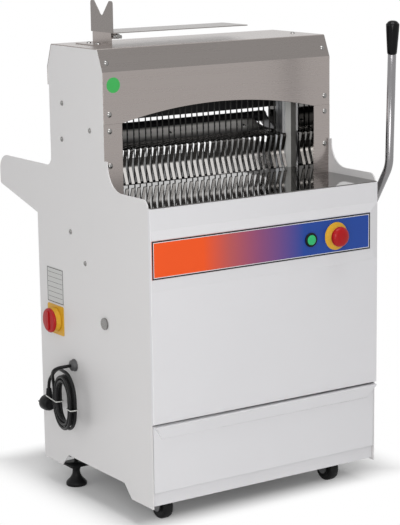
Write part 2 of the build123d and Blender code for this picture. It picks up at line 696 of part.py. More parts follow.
def build_lever():
    shaft_left = -half_w - seat
    shaft = rod_x(shaft_r, shaft_left, lever_x + hub_len / 2, pivot_y, pivot_z)
    shaft += rod_x(cap_disc_r, shaft_left - cap_disc_t, shaft_left, pivot_y, pivot_z)
    parts["lever_shaft"] = shaft

    bush = rod_x(bush_r, inner_x - bush_len, inner_x, pivot_y, pivot_z)
    bush -= rod_x(shaft_r + running, 0, half_w, pivot_y, pivot_z)
    parts["lever_bushes"] = mirrored(bush)

    pin_height = pin_z - pivot_z
    far = math.hypot(pin_height, pusher_travel / 2)
    slot_half = pin_r + pin_play
    arm = block(0, arm_t, -arm_w / 2, arm_w / 2, 0, far + slot_half + arm_end)
    arm += rod_x(arm_w / 2, 0, arm_t, 0, 0)
    arm -= block(-1, arm_t + 1, -slot_half, slot_half, pin_height, far)
    arm -= rod_x(slot_half, -1, arm_t + 1, 0, pin_height) + rod_x(slot_half, -1, arm_t + 1, 0, far)
    arm -= rod_x(shaft_r + press, -1, arm_t + 1, 0, 0)
    lean = math.degrees(math.atan2(pusher_travel / 2, pin_height))
    arm = Pos(arm_x, pivot_y, pivot_z) * Rot(lean, 0, 0) * arm
    parts["lever_arms"] = mirrored(arm)

    path = FilletPolyline(
        (lever_x, pivot_y, pivot_z), (lever_x, bend_y, bend_z), (lever_x, lever_top_y, lever_top_z), radius=bend_r
    )
    start = Plane(origin=path @ 0, z_dir=path % 0)
    tube = sweep(start * Circle(tube_r), path=path)
    tube += rod_x(hub_r, lever_x - hub_len / 2, lever_x + hub_len / 2, pivot_y, pivot_z)
    tube -= rod_x(shaft_r + press, half_w, lever_x + hub_len, pivot_y, pivot_z)

    tilt = math.degrees(math.atan2(bend_y - lever_top_y, lever_top_z - bend_z))
    top = Pos(lever_x, lever_top_y, lever_top_z) * Rot(tilt, 0, 0)
    tube -= top * Pos(0, 0, -grip_cap / 2) * Cylinder(tube_r * 2, grip_cap)
    parts["lever_tube"] = tube
    grip = Pos(0, 0, -grip_len / 2) * Cone(grip_low_r, grip_top_r, grip_len)
    grip = fillet(grip.edges().filter_by(GeomType.CIRCLE).group_by(Axis.Z)[-1], grip_top_r / 2.5)
    hollow = grip_len - grip_cap
    grip -= Pos(0, 0, -grip_len + hollow / 2 - 1) * Cylinder(tube_r + press, hollow + 2)
    parts["lever_grip"] = top * grip


def build_feet():
    cheek_x = caster_x - wheel_w / 2 - fork_gap
    far_x = caster_x + wheel_w / 2 + fork_gap
    plate_low = recess_z - fork_t
    half_plate = fork_plate / 2
    fork = block(
        caster_x - half_plate, caster_x + half_plate, caster_y - half_plate, caster_y + half_plate,
        plate_low, recess_z,
    )
    cheek = fork_plate / 4
    for near, end in ((cheek_x - fork_t, cheek_x), (far_x, far_x + fork_t)):
        fork += block(near, end, caster_y - cheek, caster_y + cheek, wheel_r, plate_low)
        fork += rod_x(cheek, near, end, caster_y, wheel_r)
    fork += rod_x(axle_r, cheek_x, far_x, caster_y, wheel_r)
    parts["caster_forks"] = mirrored(fork)
    wheel = rod_x(wheel_r, caster_x - wheel_w / 2, caster_x + wheel_w / 2, caster_y, wheel_r)
    wheel = fillet(wheel.edges().filter_by(GeomType.CIRCLE), wheel_w / 5)
    wheel -= rod_x(axle_r + running, caster_x - wheel_w, caster_x + wheel_w, caster_y, wheel_r)
    parts["caster_wheel_right"] = wheel
    parts["caster_wheel_left"] = mirror(wheel, about=Plane.YZ)

    bracket_low = recess_z - bracket_t
    rim = foot_h / 4
    foot = rod_z(foot_r, 0, rim, foot_x, foot_y)
    foot += Pos(foot_x, foot_y, (rim + foot_h) / 2) * Cone(foot_r, neck_r, foot_h - rim)
    foot += rod_z(neck_r, foot_h, foot_h + neck_h, foot_x, foot_y)
    foot += rod_z(stem_foot_r, foot_h + neck_h, bracket_low, foot_x, foot_y)
    foot += Pos(foot_x, foot_y, bracket_low - nut_h / 2) * extrude(RegularPolygon(nut_r, 6), nut_h / 2, both=True)
    parts["rear_feet"] = mirrored(foot)


def build_bag_holder():
    x0, x1 = bracket_x, bracket_x + sheet_t
    leg = block(x0, x1, leg_front_y, leg_rear_y, top_z, top_z + leg_h)
    leg += block(x0 - flange_w, x1, leg_front_y, leg_rear_y, top_z, top_z + sheet_t)
    parts["bag_bracket"] = leg
    tray_low = top_z + leg_h
    tray = block(x0, tray_right_x, tray_front_y, tray_rear_y, tray_low, tray_low + sheet_t)
    tray = fillet(tray.edges().filter_by(Axis.Z).group_by(Axis.X)[-1], tray_corner_r)
    prongs = [
        (fork_front_y, tray_low, 0),
        (fork_rear_y, tray_low, 0),
        (fork_rear_y, fork_tip_z, prong_r),
        (fork_rear_y - prong_w, fork_tip_z, prong_r),
        ((fork_front_y + fork_rear_y) / 2, notch_z, notch_r),
        (fork_front_y + prong_w, fork_tip_z, prong_r),
        (fork_front_y, fork_tip_z, prong_r),
    ]
    fork = across(side_face([p[:2] for p in prongs], [p[2] for p in prongs]), x0, x1)
    parts["bag_tray"] = tray + fork
    screw_z = tray_low - clamp_head_r
    head_y = tray_front_y - clamp_len
    clamp = rod_y(clamp_head_r, head_y, head_y + clamp_head_t, x1 + clamp_head_r, screw_z)
    clamp += rod_y(clamp_r, head_y, leg_front_y + clamp_len / 2, x1 + clamp_head_r, screw_z)
    lug = block(x1, x1 + 2 * clamp_head_r, leg_front_y, leg_front_y + clamp_len, screw_z - clamp_head_r, tray_low)
    lug -= rod_y(clamp_r + press, leg_front_y - 1, leg_front_y + clamp_len + 1, x1 + clamp_head_r, screw_z)
    parts["tray_clamp"] = clamp
    parts["bag_bracket"] = leg + lug


def build_screws():
    screw = dome_screw()
    heads = []
    for z in front_screw_zs:
        heads += mirrored(facing_front(screw, hood_screw_x, column_y, z))
    slope = math.degrees(math.atan2(top_front_y - column_y, top_z - fold_z))
    part_way = (facet_screw_z - fold_z) / (top_z - fold_z)
    facet_y = column_y + part_way * (top_front_y - column_y)
    heads += mirrored(Pos(hood_screw_x, facet_y, facet_screw_z) * Rot(90 - slope, 0, 0) * screw)
    for y, z in side_screws:
        heads += mirrored(Pos(half_w, y, z) * Rot(0, 90, 0) * screw)
    heads.append(Pos(top_screw_x, top_screw_y, top_z) * screw)
    flange_mid = bracket_x - flange_w / 2
    flange_len = leg_rear_y - leg_front_y
    for share in (0.25, 0.75):
        heads.append(Pos(flange_mid, leg_front_y + flange_len * share, top_z + sheet_t) * screw)
    parts["dome_screws"] = heads


def coil_place(x, y, z):
    """A point of the coil, given across its layers, along the panel and up, from the coil's middle."""
    return (Pos(coil_x, coil_y, coil_z) * Rot(0, 0, coil_yaw) * Pos(x, y, z)).position


def coil_path():
    """The coil's centre line: half turns joined by the straight sides, in along one layer and out along the other."""
    half_side = coil_straight / 2
    first, second = -coil_layer / 2, coil_layer / 2
    steps = [coil_r - k * coil_pitch / 2 for k in range(2 * turns_in + 1)]
    sides = [(first, s) for s in steps] + [(second, s) for s in steps[::-1]]
    edges = []
    for k, (x, radius) in enumerate(sides):
        side = 1 if k % 2 == 0 else -1
        here = Vector(x, side * radius, side * half_side)
        there = Vector(x, side * radius, -side * half_side)
        edges.append(Line(here, there))
        if k + 1 < len(sides):
            next_x, next_r = sides[k + 1]
            end = Vector(next_x, -side * next_r, -side * half_side)
            reach = (end - there).length / 2
            middle = (there + end) * 0.5 + Vector(0, 0, -side * reach)
            edges.append(ThreePointArc(there, middle, end))
    last_r = coil_r + coil_pitch / 4
    centre_y = last_r - coil_r
    diag = last_r * math.sqrt(0.5)
    middle = (second, centre_y - diag, half_side + diag)
    top = (second, centre_y, half_side + last_r)
    edges.append(ThreePointArc((second, -coil_r, half_side), middle, top))
    edges.append(Line(top, (second, centre_y + lead_d, half_side + last_r)))
    return Pos(coil_x, coil_y, coil_z) * Rot(0, 0, coil_yaw) * Wire(edges)


def tube_along(path, label):
    """A round lead along a path, with a check of its volume."""
    start = Plane(origin=path @ 0, z_dir=path % 0)
    tube = sweep(start * Circle(lead_d / 2), path=path)
    share = tube.volume / (path.length * math.pi * lead_d**2 / 4)
    print(f"{label}: {path.length:.0f} mm, volume over section times length {share:.4f}")
    return tube


def free_lead(points, label):
    """Straight runs joined by arcs as large as the runs allow."""
    corners = [Vector(*p) for p in points]
    runs = [b - a for a, b in zip(corners, corners[1:])]
    radii = []
    for a, b in zip(runs, runs[1:]):
        half_turn = math.radians(a.get_angle(b)) / 2
        radii.append(arc_share * min(a.length, b.length) / math.tan(half_turn))
    print(label, "radii", [round(r, 1) for r in radii])
    return tube_along(FilletPolyline(*points, radius=radii), label)


def least_gap(path, apart):
    """The least clear distance between two stretches of a lead that are some way apart along it."""
    count = int(path.length / sample_step)
    places = [path.position_at(i / count) for i in range(count + 1)]
    skip = int(apart / sample_step)
    least = min(
        (places[i] - places[j]).length for i in range(len(places)) for j in range(i + skip, len(places))
    )
    return least - lead_d


def build_mains_lead():
    gland = rod_x(gland_r, -half_w - gland_flange_t, -half_w, gland_y, gland_z)
    gland = fillet(gland.edges().filter_by(GeomType.CIRCLE).sort_by(Axis.X)[0], gland_flange_t / 3)
    nose_x = -half_w - gland_len
    parts["cable_gland"] = gland + rod_x(gland_nose_r, nose_x, -half_w, gland_y, gland_z)

    path = coil_path()
    start, end = path @ 0, path @ 1
    print("coil starts", start, "ends", end, "heading", path % 1)
    parts["mains_coil"] = tube_along(path, "coil")
    print(f"coil's least gap to itself {least_gap(path, 4 * lead_d):.2f} mm")

    lead_in = [(nose_x, gland_y, gland_z), *lead_in_route, start - (path % 0) * square_run, start]
    parts["lead_to_coil"] = free_lead(lead_in, "lead to coil")
    plug_z_top = plug_z + plug_r + neck_plug_h
    neck_y = plug_y + neck_plug_r + 1
    neck_top = Vector(plug_x, neck_y, plug_z_top)
    above_neck = neck_top + Vector(0, 0, square_run)
    lead_out = [end, end + (path % 1) * square_run, *lead_out_route, above_neck, neck_top]
    parts["lead_to_plug"] = free_lead(lead_out, "lead to plug")

    plug = rod_y(plug_r, plug_y, plug_y + plug_len, plug_x, plug_z)
    plug = fillet(plug.edges().filter_by(GeomType.CIRCLE).sort_by(Axis.Y)[0], plug_r / 3)
    plug += rod_z(neck_plug_r, plug_z, plug_z_top, plug_x, neck_y)
    for side in (-1, 1):
        pin_x = plug_x + side * pin_plug_gap / 2
        plug += rod_y(pin_plug_r, plug_y + plug_len, plug_y + plug_len + pin_plug_len, pin_x, plug_z)
    parts["mains_plug"] = plug
    parts["cable_ties"] = build_ties(neck_y)


def tie_ring(circles, z):
    """A band pulled round some circles, level at one height."""
    rounds = [Pos(x, y, 0) * Circle(radius + seat) for x, y, radius in circles]
    inside = make_hull([edge for ring in rounds for edge in ring.edges()])
    outside = offset(inside, amount=tie_t)
    return Pos(0, 0, z - tie_w / 2) * extrude(outside - inside, amount=tie_w)


def build_ties(neck_y):
    """One band round the coil's front side, and one round its rear side and the plug's neck."""
    inner, outer = coil_r - turns_in * coil_pitch, coil_r
    bands = []
    for side, extra, level in (
        (-1, [], coil_z + tie_drop),
        (1, [(plug_x, neck_y, neck_plug_r)], plug_z + plug_r + tie_w),
    ):
        corners = [coil_place(x, side * y, 0) for x in (-coil_layer / 2, coil_layer / 2) for y in (inner, outer)]
        circles = [(p.X, p.Y, lead_d / 2) for p in corners] + extra
        bands.append(tie_ring(circles, level))
    return bands


builders = (
    build_side_panels, build_hood, build_tables, build_base, build_drawer, build_drive, build_pusher,
    build_lever, build_feet, build_bag_holder, build_screws, build_mains_lead,
)
for builder in builders:
    builder()
build_controls(build_front())
build_blade_frame("a", -1)
build_blade_frame("b", 1)


def solids_of(piece):
    if isinstance(piece, list):
        return [solid for item in piece for solid in item.solids()]
    return list(piece.solids())


everything = {name: solids_of(piece) for name, piece in parts.items()}
machine = Compound([s for name, solids in everything.items() if name not in cord_nodes for s in solids])
box = machine.bounding_box()
origin = (-(box.min.X + box.max.X) / 2, -(box.min.Y + box.max.Y) / 2, -box.min.Z)
print("moved to the middle of the underside by", [round(v, 3) for v in origin])
print("overall size", [round(v, 1) for v in box.size])
for name, solids in everything.items():
    export_step(Pos(*origin) * Compound(solids), f"parts/{name}.step")
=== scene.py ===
import json
import math
import bmesh
import bpy
import numpy as np
from mathutils import Matrix, Vector


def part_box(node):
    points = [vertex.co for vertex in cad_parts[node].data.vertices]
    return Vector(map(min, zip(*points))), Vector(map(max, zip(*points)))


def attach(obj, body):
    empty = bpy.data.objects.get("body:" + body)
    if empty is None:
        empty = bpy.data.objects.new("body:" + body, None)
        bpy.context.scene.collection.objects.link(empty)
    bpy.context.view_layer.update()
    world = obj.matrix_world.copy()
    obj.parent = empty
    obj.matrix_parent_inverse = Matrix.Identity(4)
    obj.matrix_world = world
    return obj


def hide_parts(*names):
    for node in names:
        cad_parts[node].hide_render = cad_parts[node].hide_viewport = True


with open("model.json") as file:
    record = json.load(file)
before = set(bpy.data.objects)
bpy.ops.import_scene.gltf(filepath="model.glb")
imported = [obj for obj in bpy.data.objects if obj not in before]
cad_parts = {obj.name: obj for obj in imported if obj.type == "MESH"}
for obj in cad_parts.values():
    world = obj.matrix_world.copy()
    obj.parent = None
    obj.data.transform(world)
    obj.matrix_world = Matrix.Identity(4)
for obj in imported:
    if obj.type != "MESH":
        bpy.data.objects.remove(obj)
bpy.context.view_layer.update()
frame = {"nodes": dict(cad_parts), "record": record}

print("bread slicer: frame loaded")

# Places below are millimetres in the machine's own terms: x from its middle, y back from the side panels'
# front edges, z up from the floor. The left side panel says where that lies in the frame.
halfWidth = 320.0
panelFoot = 58.0
shiftMm = np.array(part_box("left_side_panel")[0]) * 1000 - np.array([-halfWidth, 0.0, panelFoot])


def toFrame(points):
    return (np.asarray(points, float) + shiftMm) * 0.001  # machine millimetres to frame metres


def gridFaces(rows, cols, wrapRows=False, wrapCols=False):
    # quads between neighbours of a rows x cols grid of points
    r = np.arange(rows if wrapRows else rows - 1)
    c = np.arange(cols if wrapCols else cols - 1)
    r, c = np.meshgrid(r, c, indexing="ij")
    r1, c1 = (r + 1) % rows, (c + 1) % cols
    return np.stack([r * cols + c, r * cols + c1, r1 * cols + c1, r1 * cols + c], -1).reshape(-1, 4)


def showPiece(name, data, finish, body="root", slot=None, replaces=()):
    # one object at the origin that rides a body, with its finish and the nodes it stands for; the slot argument
    # is not used
    piece = bpy.data.objects.new(name, data)
    bpy.context.collection.objects.link(piece)
    data.materials.append(material[finish])
    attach(piece, body)
    if replaces:
        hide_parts(*replaces)
    return piece


def putMesh(name, shape, finish, smooth=True, weld=1e-6, **part):
    # a shape's points and faces as a piece, doubles merged and faces turned outwards
    points, faces = shape
    mesh = bpy.data.meshes.new(name)
    mesh.from_pydata(toFrame(points).tolist(), [], [list(map(int, face)) for face in faces])
    work = bmesh.new()
    work.from_mesh(mesh)
    bmesh.ops.remove_doubles(work, verts=work.verts, dist=weld)
    bmesh.ops.dissolve_degenerate(work, edges=work.edges, dist=weld)
    bmesh.ops.recalc_face_normals(work, faces=work.faces)
    work.to_mesh(mesh)
    work.free()
    mesh.polygons.foreach_set("use_smooth", [smooth] * len(mesh.polygons))
    return showPiece(name, mesh, finish, **part)


def softenEdges(piece, width, segments=2, angle=35):
    # rounds the edges over an angle, and keeps flat faces flat
    bevel = piece.modifiers.new("edges", "BEVEL")
    bevel.width = width * 0.001
    bevel.segments = segments
    bevel.limit_method = "ANGLE"
    bevel.angle_limit = math.radians(angle)
    bevel.harden_normals = True


def thicken(piece, sheet, offset):
    # gives a surface the wall of a bent sheet
    wall = piece.modifiers.new("sheet", "SOLIDIFY")
    wall.thickness = sheet * 0.001
    wall.offset = offset


def roundedLine(points, radii, closed=False, steps=8):
    # a line in a plane whose corners are arcs of the given radii
    points = np.asarray(points, float)
    count = len(points)
    out = []
    for i, (corner, radius) in enumerate(zip(points, radii)):
        if radius <= 0 or (not closed and i in (0, count - 1)):
            out.append(corner[None])
            continue
        before, after = points[i - 1] - corner, points[(i + 1) % count] - corner
        before, after = before / np.linalg.norm(before), after / np.linalg.norm(after)
        half = math.acos(np.clip(before @ after, -1, 1)) / 2
        middle = before + after
        centre = corner + middle / np.linalg.norm(middle) * radius / math.sin(half)
        start = corner + before * radius / math.tan(half) - centre
        end = corner + after * radius / math.tan(half) - centre
        a0 = math.atan2(start[1], start[0])
        turn = (math.atan2(end[1], end[0]) - a0 + math.pi) % (2 * math.pi) - math.pi
        angles = a0 + turn * np.linspace(0, 1, steps + 1)
        out.append(centre + radius * np.stack([np.cos(angles), np.sin(angles)], -1))
    return np.concatenate(out)


def prism(outline, axis, low, high):
    # a flat outline pushed along x, y or z; the other two axes hold the outline in order
    outline = np.asarray(outline, float)
    count = len(outline)
    points = np.zeros((2, count, 3))
    others = [i for i in range(3) if i != axis]
    points[:, :, others] = outline
    points[0, :, axis], points[1, :, axis] = low, high
    faces = gridFaces(2, count, wrapCols=True).tolist()
    faces += [list(range(count)), list(range(count, 2 * count))[::-1]]
    return points.reshape(-1, 3), faces


def boxMesh(x0, x1, y0, y1, z0, z1):
    return prism([(x0, y0), (x1, y0), (x1, y1), (x0, y1)], 2, z0, z1)


def joined(*shapes):
    # several point and face lists as one
    points, faces, base = [], [], 0
    for shapePoints, shapeFaces in shapes:
        points.append(np.asarray(shapePoints, float))
        faces += [[base + int(i) for i in face] for face in shapeFaces]
        base += len(shapePoints)
    return np.concatenate(points), faces


def turned(profile, centre, direction, segments=48):
    # a profile of (radius, distance along) carried round an axis through a centre: centre + distance times
    # axis + radius times (cos a side + sin a other). It ends in caps, unless it returns to its start
    profile = np.asarray(profile, float)
    axis = np.array(Vector(direction).normalized())
    side = np.array(Vector(direction).orthogonal().normalized())
    other = np.cross(axis, side)
    theta = np.linspace(0, 2 * math.pi, segments, endpoint=False)
    ring = np.cos(theta)[:, None] * side + np.sin(theta)[:, None] * other
    looped = bool(np.allclose(profile[0], profile[-1]))
    profile = profile[:-1] if looped else profile
    radii, places = profile.T[:, :, None, None]
    points = np.asarray(centre, float) + places * axis + radii * ring
    faces = gridFaces(len(profile), segments, wrapRows=looped, wrapCols=True).tolist()
    if looped:
        return points.reshape(-1, 3), faces
    caps = [list(range(segments)), list(range(len(profile) * segments - segments, len(profile) * segments))]
    faces += [cap for cap, radius in zip(caps, (profile[0, 0], profile[-1, 0])) if radius > 0]
    return points.reshape(-1, 3), faces


def tubeInPlane(path, radius, segments=24):
    # a round tube along a line in the yz plane at one x: ring = centre + r (cos a normal + sin a x)
    path = np.asarray(path, float)
    tangent = np.gradient(path, axis=0)
    tangent /= np.linalg.norm(tangent, axis=1)[:, None]
    across = np.array([1.0, 0, 0])
    normal = np.cross(across, tangent)
    theta = np.linspace(0, 2 * math.pi, segments, endpoint=False)
    rings = path[:, None] + radius * (
        np.cos(theta)[None, :, None] * normal[:, None] + np.sin(theta)[None, :, None] * across
    )
    count = len(path)
    faces = gridFaces(count, segments, wrapCols=True).tolist()
    faces += [list(range(segments)), list(range((count - 1) * segments, count * segments))]
    return rings.reshape(-1, 3), faces


def nestedRectangles(rings, looped=False):
    # rectangles (x0, x1, z0, z1, y) joined in order, with the ends closed or the last joined to the first
    points = [[(x0, y, z0), (x1, y, z0), (x1, y, z1), (x0, y, z1)] for x0, x1, z0, z1, y in rings]
    faces = gridFaces(len(rings), 4, wrapRows=looped, wrapCols=True).tolist()
    last = 4 * (len(rings) - 1)
    if not looped:
        faces += [[0, 1, 2, 3], [last, last + 1, last + 2, last + 3]]
    return np.array(points, float).reshape(-1, 3), faces


def rectangleFrame(outer, inner, back, front):
    # a flat frame between two rectangles (x0, x1, z0, z1), from one y to another
    return nestedRectangles([(*outer, back), (*outer, front), (*inner, front), (*inner, back)], looped=True)


def roundedRectangle(middle, halfWide, halfHigh, radius, steps=8):
    corners = [(-halfWide, -halfHigh), (halfWide, -halfHigh), (halfWide, halfHigh), (-halfWide, halfHigh)]
    return roundedLine(corners, [radius] * 4, closed=True, steps=steps) + np.array(middle)


def startMaterial(name):
    finish = bpy.data.materials.new(name)
    finish.use_nodes = True
    return finish, finish.node_tree, finish.node_tree.nodes["Principled BSDF"]


def setInputs(tree, node, inputs):
    # inputs by name or number, each a value or another node's output
    for key, value in inputs.items():
        if isinstance(value, bpy.types.NodeSocket):
            tree.links.new(value, node.inputs[key])
        else:
            node.inputs[key].default_value = value


def addNode(tree, kind, inputs, **settings):
    node = tree.nodes.new("ShaderNode" + kind)
    for key, value in settings.items():
        setattr(node, key, value)
    setInputs(tree, node, inputs)
    return node


def calculate(tree, operation, *values):
    return addNode(tree, "Math", dict(enumerate(values)), operation=operation).outputs[0]


def mapRange(tree, value, fromLow, fromHigh, toLow=0.0, toHigh=1.0, **settings):
    ends = {"From Min": fromLow, "From Max": fromHigh, "To Min": toLow, "To Max": toHigh}
    return addNode(tree, "MapRange", {"Value": value, **ends}, **settings).outputs["Result"]


def spread(tree, noise, low, high):
    # brings noise, most of which lies round 0.5, between two numbers
    return mapRange(tree, noise, 0.3, 0.7, low, high)


def objectNoise(tree, scale, stretch, detail=3.0):
    # noise on object coordinates, stretched to make grain
    coords = addNode(tree, "TexCoord", {})
    place = addNode(tree, "Mapping", {"Vector": coords.outputs["Object"], "Scale": stretch})
    noise = addNode(tree, "TexNoise", {"Vector": place.outputs["Vector"], "Scale": scale, "Detail": detail})
    return noise.outputs["Fac"]


def objectAxes(tree):
    # the outputs X, Y and Z of a point's place in the frame
    coords = addNode(tree, "TexCoord", {})
    return addNode(tree, "SeparateXYZ", {"Vector": coords.outputs["Object"]}).outputs


def mixColours(tree, value, dark, light):
    return addNode(tree, "Mix", {0: value, 6: (*dark, 1), 7: (*light, 1)}, data_type="RGBA").outputs[2]


def addRamp(tree, value, stops):
    # colours at places between 0 and 1
    ramp = addNode(tree, "ValToRGB", {"Fac": value})
    marks = ramp.color_ramp.elements
    for mark, (place, colour) in zip(marks, (stops[0], stops[-1])):
        mark.position, mark.color = place, (*colour, 1)
    for place, colour in stops[1:-1]:
        marks.new(place).color = (*colour, 1)
    return ramp.outputs["Color"]


def seenOrMirrored(tree):
    # 1 for rays from the camera or off a glossy surface, else 0
    rays = addNode(tree, "LightPath", {}).outputs
    return calculate(tree, "MAXIMUM", rays["Is Camera Ray"], rays["Is Glossy Ray"])


def finishSurface(tree, shader, look, colour, roughNoise, bumpNoise):
    # the part that all finishes share
    bump = addNode(tree, "Bump", {"Height": bumpNoise, "Strength": look["bump"], "Distance": look["bumpDepth"]})
    setInputs(tree, shader, {
        "Base Color": colour,
        "Metallic": look["metal"],
        "Roughness": spread(tree, roughNoise, *look["rough"]),
        "Specular IOR Level": look["specular"],
        "Normal": bump.outputs["Normal"],
    })


usualLook = dict(metal=0.0, specular=0.5, vary=0.03, stretch=(1, 1, 1), broadScale=6.0, fineScale=400.0,
                 fineShare=0.4, bump=0.05, bumpDepth=0.0002)


def makeFinish(name, look):
    # one finish: base colour and roughness that vary with broad and fine noise together, and a fine bump
    look = {**usualLook, **look}
    finish, tree, shader = startMaterial(name + "_finish")
    broad = objectNoise(tree, look["broadScale"], look["stretch"], 4.0)
    fine = objectNoise(tree, look["fineScale"], look["stretch"], 2.0)
    broadPart = calculate(tree, "MULTIPLY", broad, 1 - look["fineShare"])
    both = calculate(tree, "MULTIPLY_ADD", fine, look["fineShare"], broadPart)
    base = np.array(look["colour"])
    light, dark = np.clip(base * (1 + look["vary"]), 0, 1), base * (1 - look["vary"])
    colour = mixColours(tree, spread(tree, both, 0.0, 1.0), tuple(dark), tuple(light))
    finishSurface(tree, shader, look, colour, both, fine)
    return finish


def makeBanded(name, look):
    # a finish whose colour changes along one axis between two machine places
    look = {**usualLook, **look}
    finish, tree, shader = startMaterial(name + "_finish")
    ends = toFrame([(look["low"],) * 3, (look["high"],) * 3])[:, "XYZ".index(look["axis"])]
    along = mapRange(tree, objectAxes(tree)[look["axis"]], *ends)
    grain = objectNoise(tree, look["fineScale"], look["stretch"])
    finishSurface(tree, shader, look, addRamp(tree, along, look["stops"]), grain, grain)
    return finish


paint = dict(rough=(0.36, 0.44), vary=0.012, broadScale=3.0, fineScale=900.0, bump=0.06, fineShare=0.15,
             specular=0.35)
brushed = dict(metal=1.0, rough=(0.26, 0.29), vary=0.015, stretch=(1, 30, 30), broadScale=3.0, fineScale=30.0,
               bump=0.008, fineShare=0.3)
finishes = {
    "white_paint": dict(paint, colour=(0.665, 0.66, 0.675)),
    # the white paint again, darker: painted shade on the side and rear panels
    "shaded_side_white": dict(paint, colour=(0.645, 0.635, 0.635)),
    "stainless": dict(brushed, colour=(0.35, 0.315, 0.30)),
    # the stainless steel again, darker: painted shade on facets that face darker surroundings
    "shaded_facet_steel": dict(brushed, colour=(0.235, 0.215, 0.205)),
    "mirror_steel": dict(colour=(0.16, 0.155, 0.15), metal=1.0, rough=(0.025, 0.06), vary=0.05,
                         stretch=(1, 12, 12), broadScale=4.0, fineScale=30.0, bump=0.008),
    "polished_steel": dict(colour=(0.46, 0.45, 0.44), metal=1.0, rough=(0.12, 0.20), vary=0.08, fineScale=200.0,
                           bump=0.02),
    "screw_steel": dict(colour=(0.24, 0.235, 0.23), metal=1.0, rough=(0.18, 0.28), vary=0.12, fineScale=300.0),
    "grey_steel": dict(colour=(0.20, 0.20, 0.205), metal=0.8, rough=(0.35, 0.48), vary=0.08, fineScale=500.0),
    "tube_steel": dict(colour=(0.25, 0.245, 0.25), metal=1.0, rough=(0.16, 0.26), vary=0.1,
                       stretch=(30, 30, 2), fineScale=60.0),
    "aluminium": dict(colour=(0.60, 0.61, 0.63), metal=1.0, rough=(0.30, 0.42), vary=0.05,
                      stretch=(30, 30, 2), fineScale=60.0),
    # near-black steel: painted shade on the rear table and the fingers' sides
    "shaded_black_steel": dict(colour=(0.022, 0.021, 0.020), rough=(0.25, 0.35), vary=0.05, stretch=(1, 12, 12),
                       broadScale=4.0, fineScale=30.0, bump=0.008, specular=0.05),
    "blade_steel": dict(colour=(0.10, 0.098, 0.095), metal=0.6, rough=(0.25, 0.4), vary=0.15,
                        stretch=(40, 40, 1), fineScale=60.0),
    # black for the sheet inside the hood: painted shade
    "black_paint": dict(colour=(0.02, 0.02, 0.021), rough=(0.5, 0.6), vary=0.1, fineScale=700.0, specular=0.3),
    "motor_paint": dict(colour=(0.16, 0.19, 0.23), rough=(0.4, 0.55), vary=0.06, fineScale=600.0),
    # grey for the painted shadow under the drawer's lip
    "lip_shadow_grey": dict(colour=(0.10, 0.10, 0.105), rough=(0.5, 0.6), vary=0.05, fineScale=700.0, specular=0.2),
    "white_plastic": dict(colour=(0.74, 0.74, 0.72), rough=(0.42, 0.55), fineScale=500.0),
    "black_plastic": dict(colour=(0.008, 0.008, 0.009), rough=(0.3, 0.42), vary=0.15, fineScale=700.0,
                          bump=0.08, specular=0.12),
    "grey_plastic": dict(colour=(0.07, 0.07, 0.073), rough=(0.42, 0.52), vary=0.08, fineScale=600.0, bump=0.08,
                         specular=0.35),
    "grip_plastic": dict(colour=(0.004, 0.004, 0.0045), rough=(0.10, 0.16), vary=0.15, fineScale=500.0,
                         bump=0.02, specular=0.12),
    "foot_plastic": dict(colour=(0.009, 0.009, 0.0095), rough=(0.4, 0.55), vary=0.12, fineScale=500.0, bump=0.1,
                         specular=0.12),
    "yellow_plastic": dict(colour=(0.62, 0.345, 0.022), rough=(0.34, 0.44), fineScale=500.0, specular=0.3),
    "red_plastic": dict(colour=(0.36, 0.006, 0.008), rough=(0.28, 0.38), vary=0.05, fineScale=500.0,
                        specular=0.2),
    "green_plastic": dict(colour=(0.02, 0.42, 0.14), rough=(0.2, 0.3), vary=0.04, fineScale=500.0,
                          specular=0.35),
    "silver_label": dict(colour=(0.50, 0.50, 0.49), metal=0.3, rough=(0.4, 0.5), fineScale=800.0),
    "cable_black": dict(colour=(0.006, 0.006, 0.0065), rough=(0.30, 0.40), vary=0.15, fineScale=900.0,
                        bump=0.1, specular=0.15),
    "belt_rubber": dict(colour=(0.02, 0.02, 0.02), rough=(0.7, 0.8), vary=0.1, fineScale=500.0, bump=0.2),
    "wheel_rubber": dict(colour=(0.008, 0.008, 0.0085), rough=(0.45, 0.6), vary=0.1, bump=0.1, specular=0.15),
    "tie_white": dict(colour=(0.50, 0.50, 0.48), rough=(0.35, 0.45), fineScale=500.0),
    "green_label": dict(colour=(0.045, 0.38, 0.085), rough=(0.3, 0.4), fineScale=600.0, specular=0.3),
    "label_ink": dict(colour=(0.012, 0.012, 0.013), rough=(0.4, 0.5), vary=0.1, fineScale=600.0, specular=0.3),
    "label_white": dict(colour=(0.72, 0.72, 0.74), rough=(0.35, 0.45), vary=0.02, fineScale=600.0),
}
bandedFinishes = {
    # painted highlight on the fingers where they lean forward below their bend, and painted shade above it
    "finger_highlight_steel": dict(
        axis="Z", low=794.5, high=799.5, stops=[(0.0, (0.66, 0.64, 0.62)), (1.0, (0.13, 0.125, 0.12))],
        metal=1.0, rough=(0.14, 0.30), fineScale=90.0, stretch=(8, 8, 1), bump=0.03),
    # painted highlight across the guard's middle, and painted shade towards both edges
    "guard_highlight_steel": dict(
        axis="Z", low=845.5, high=872.0,
        stops=[(0.02, (0.03, 0.029, 0.028)), (0.34, (0.92, 0.90, 0.87)), (0.78, (0.92, 0.90, 0.87)),
               (1.0, (0.03, 0.029, 0.028))],
        metal=0.1, rough=(0.30, 0.42), fineScale=90.0, stretch=(1, 12, 12), bump=0.02),
    # the strip is orange, then violet, then blue
    "printed_strip": dict(
        axis="X", low=-317.0, high=293.0,
        stops=[(0.22, (0.80, 0.085, 0.010)), (0.34, (0.44, 0.085, 0.085)), (0.47, (0.24, 0.065, 0.16)),
               (0.68, (0.012, 0.055, 0.29))],
        rough=(0.30, 0.38), fineScale=500.0, bump=0.04, bumpDepth=0.0001, specular=0.25),
}
material = {name: makeFinish(name, look) for name, look in finishes.items()}
material.update({name: makeBanded(name, look) for name, look in bandedFinishes.items()})
print("bread slicer: finishes made")

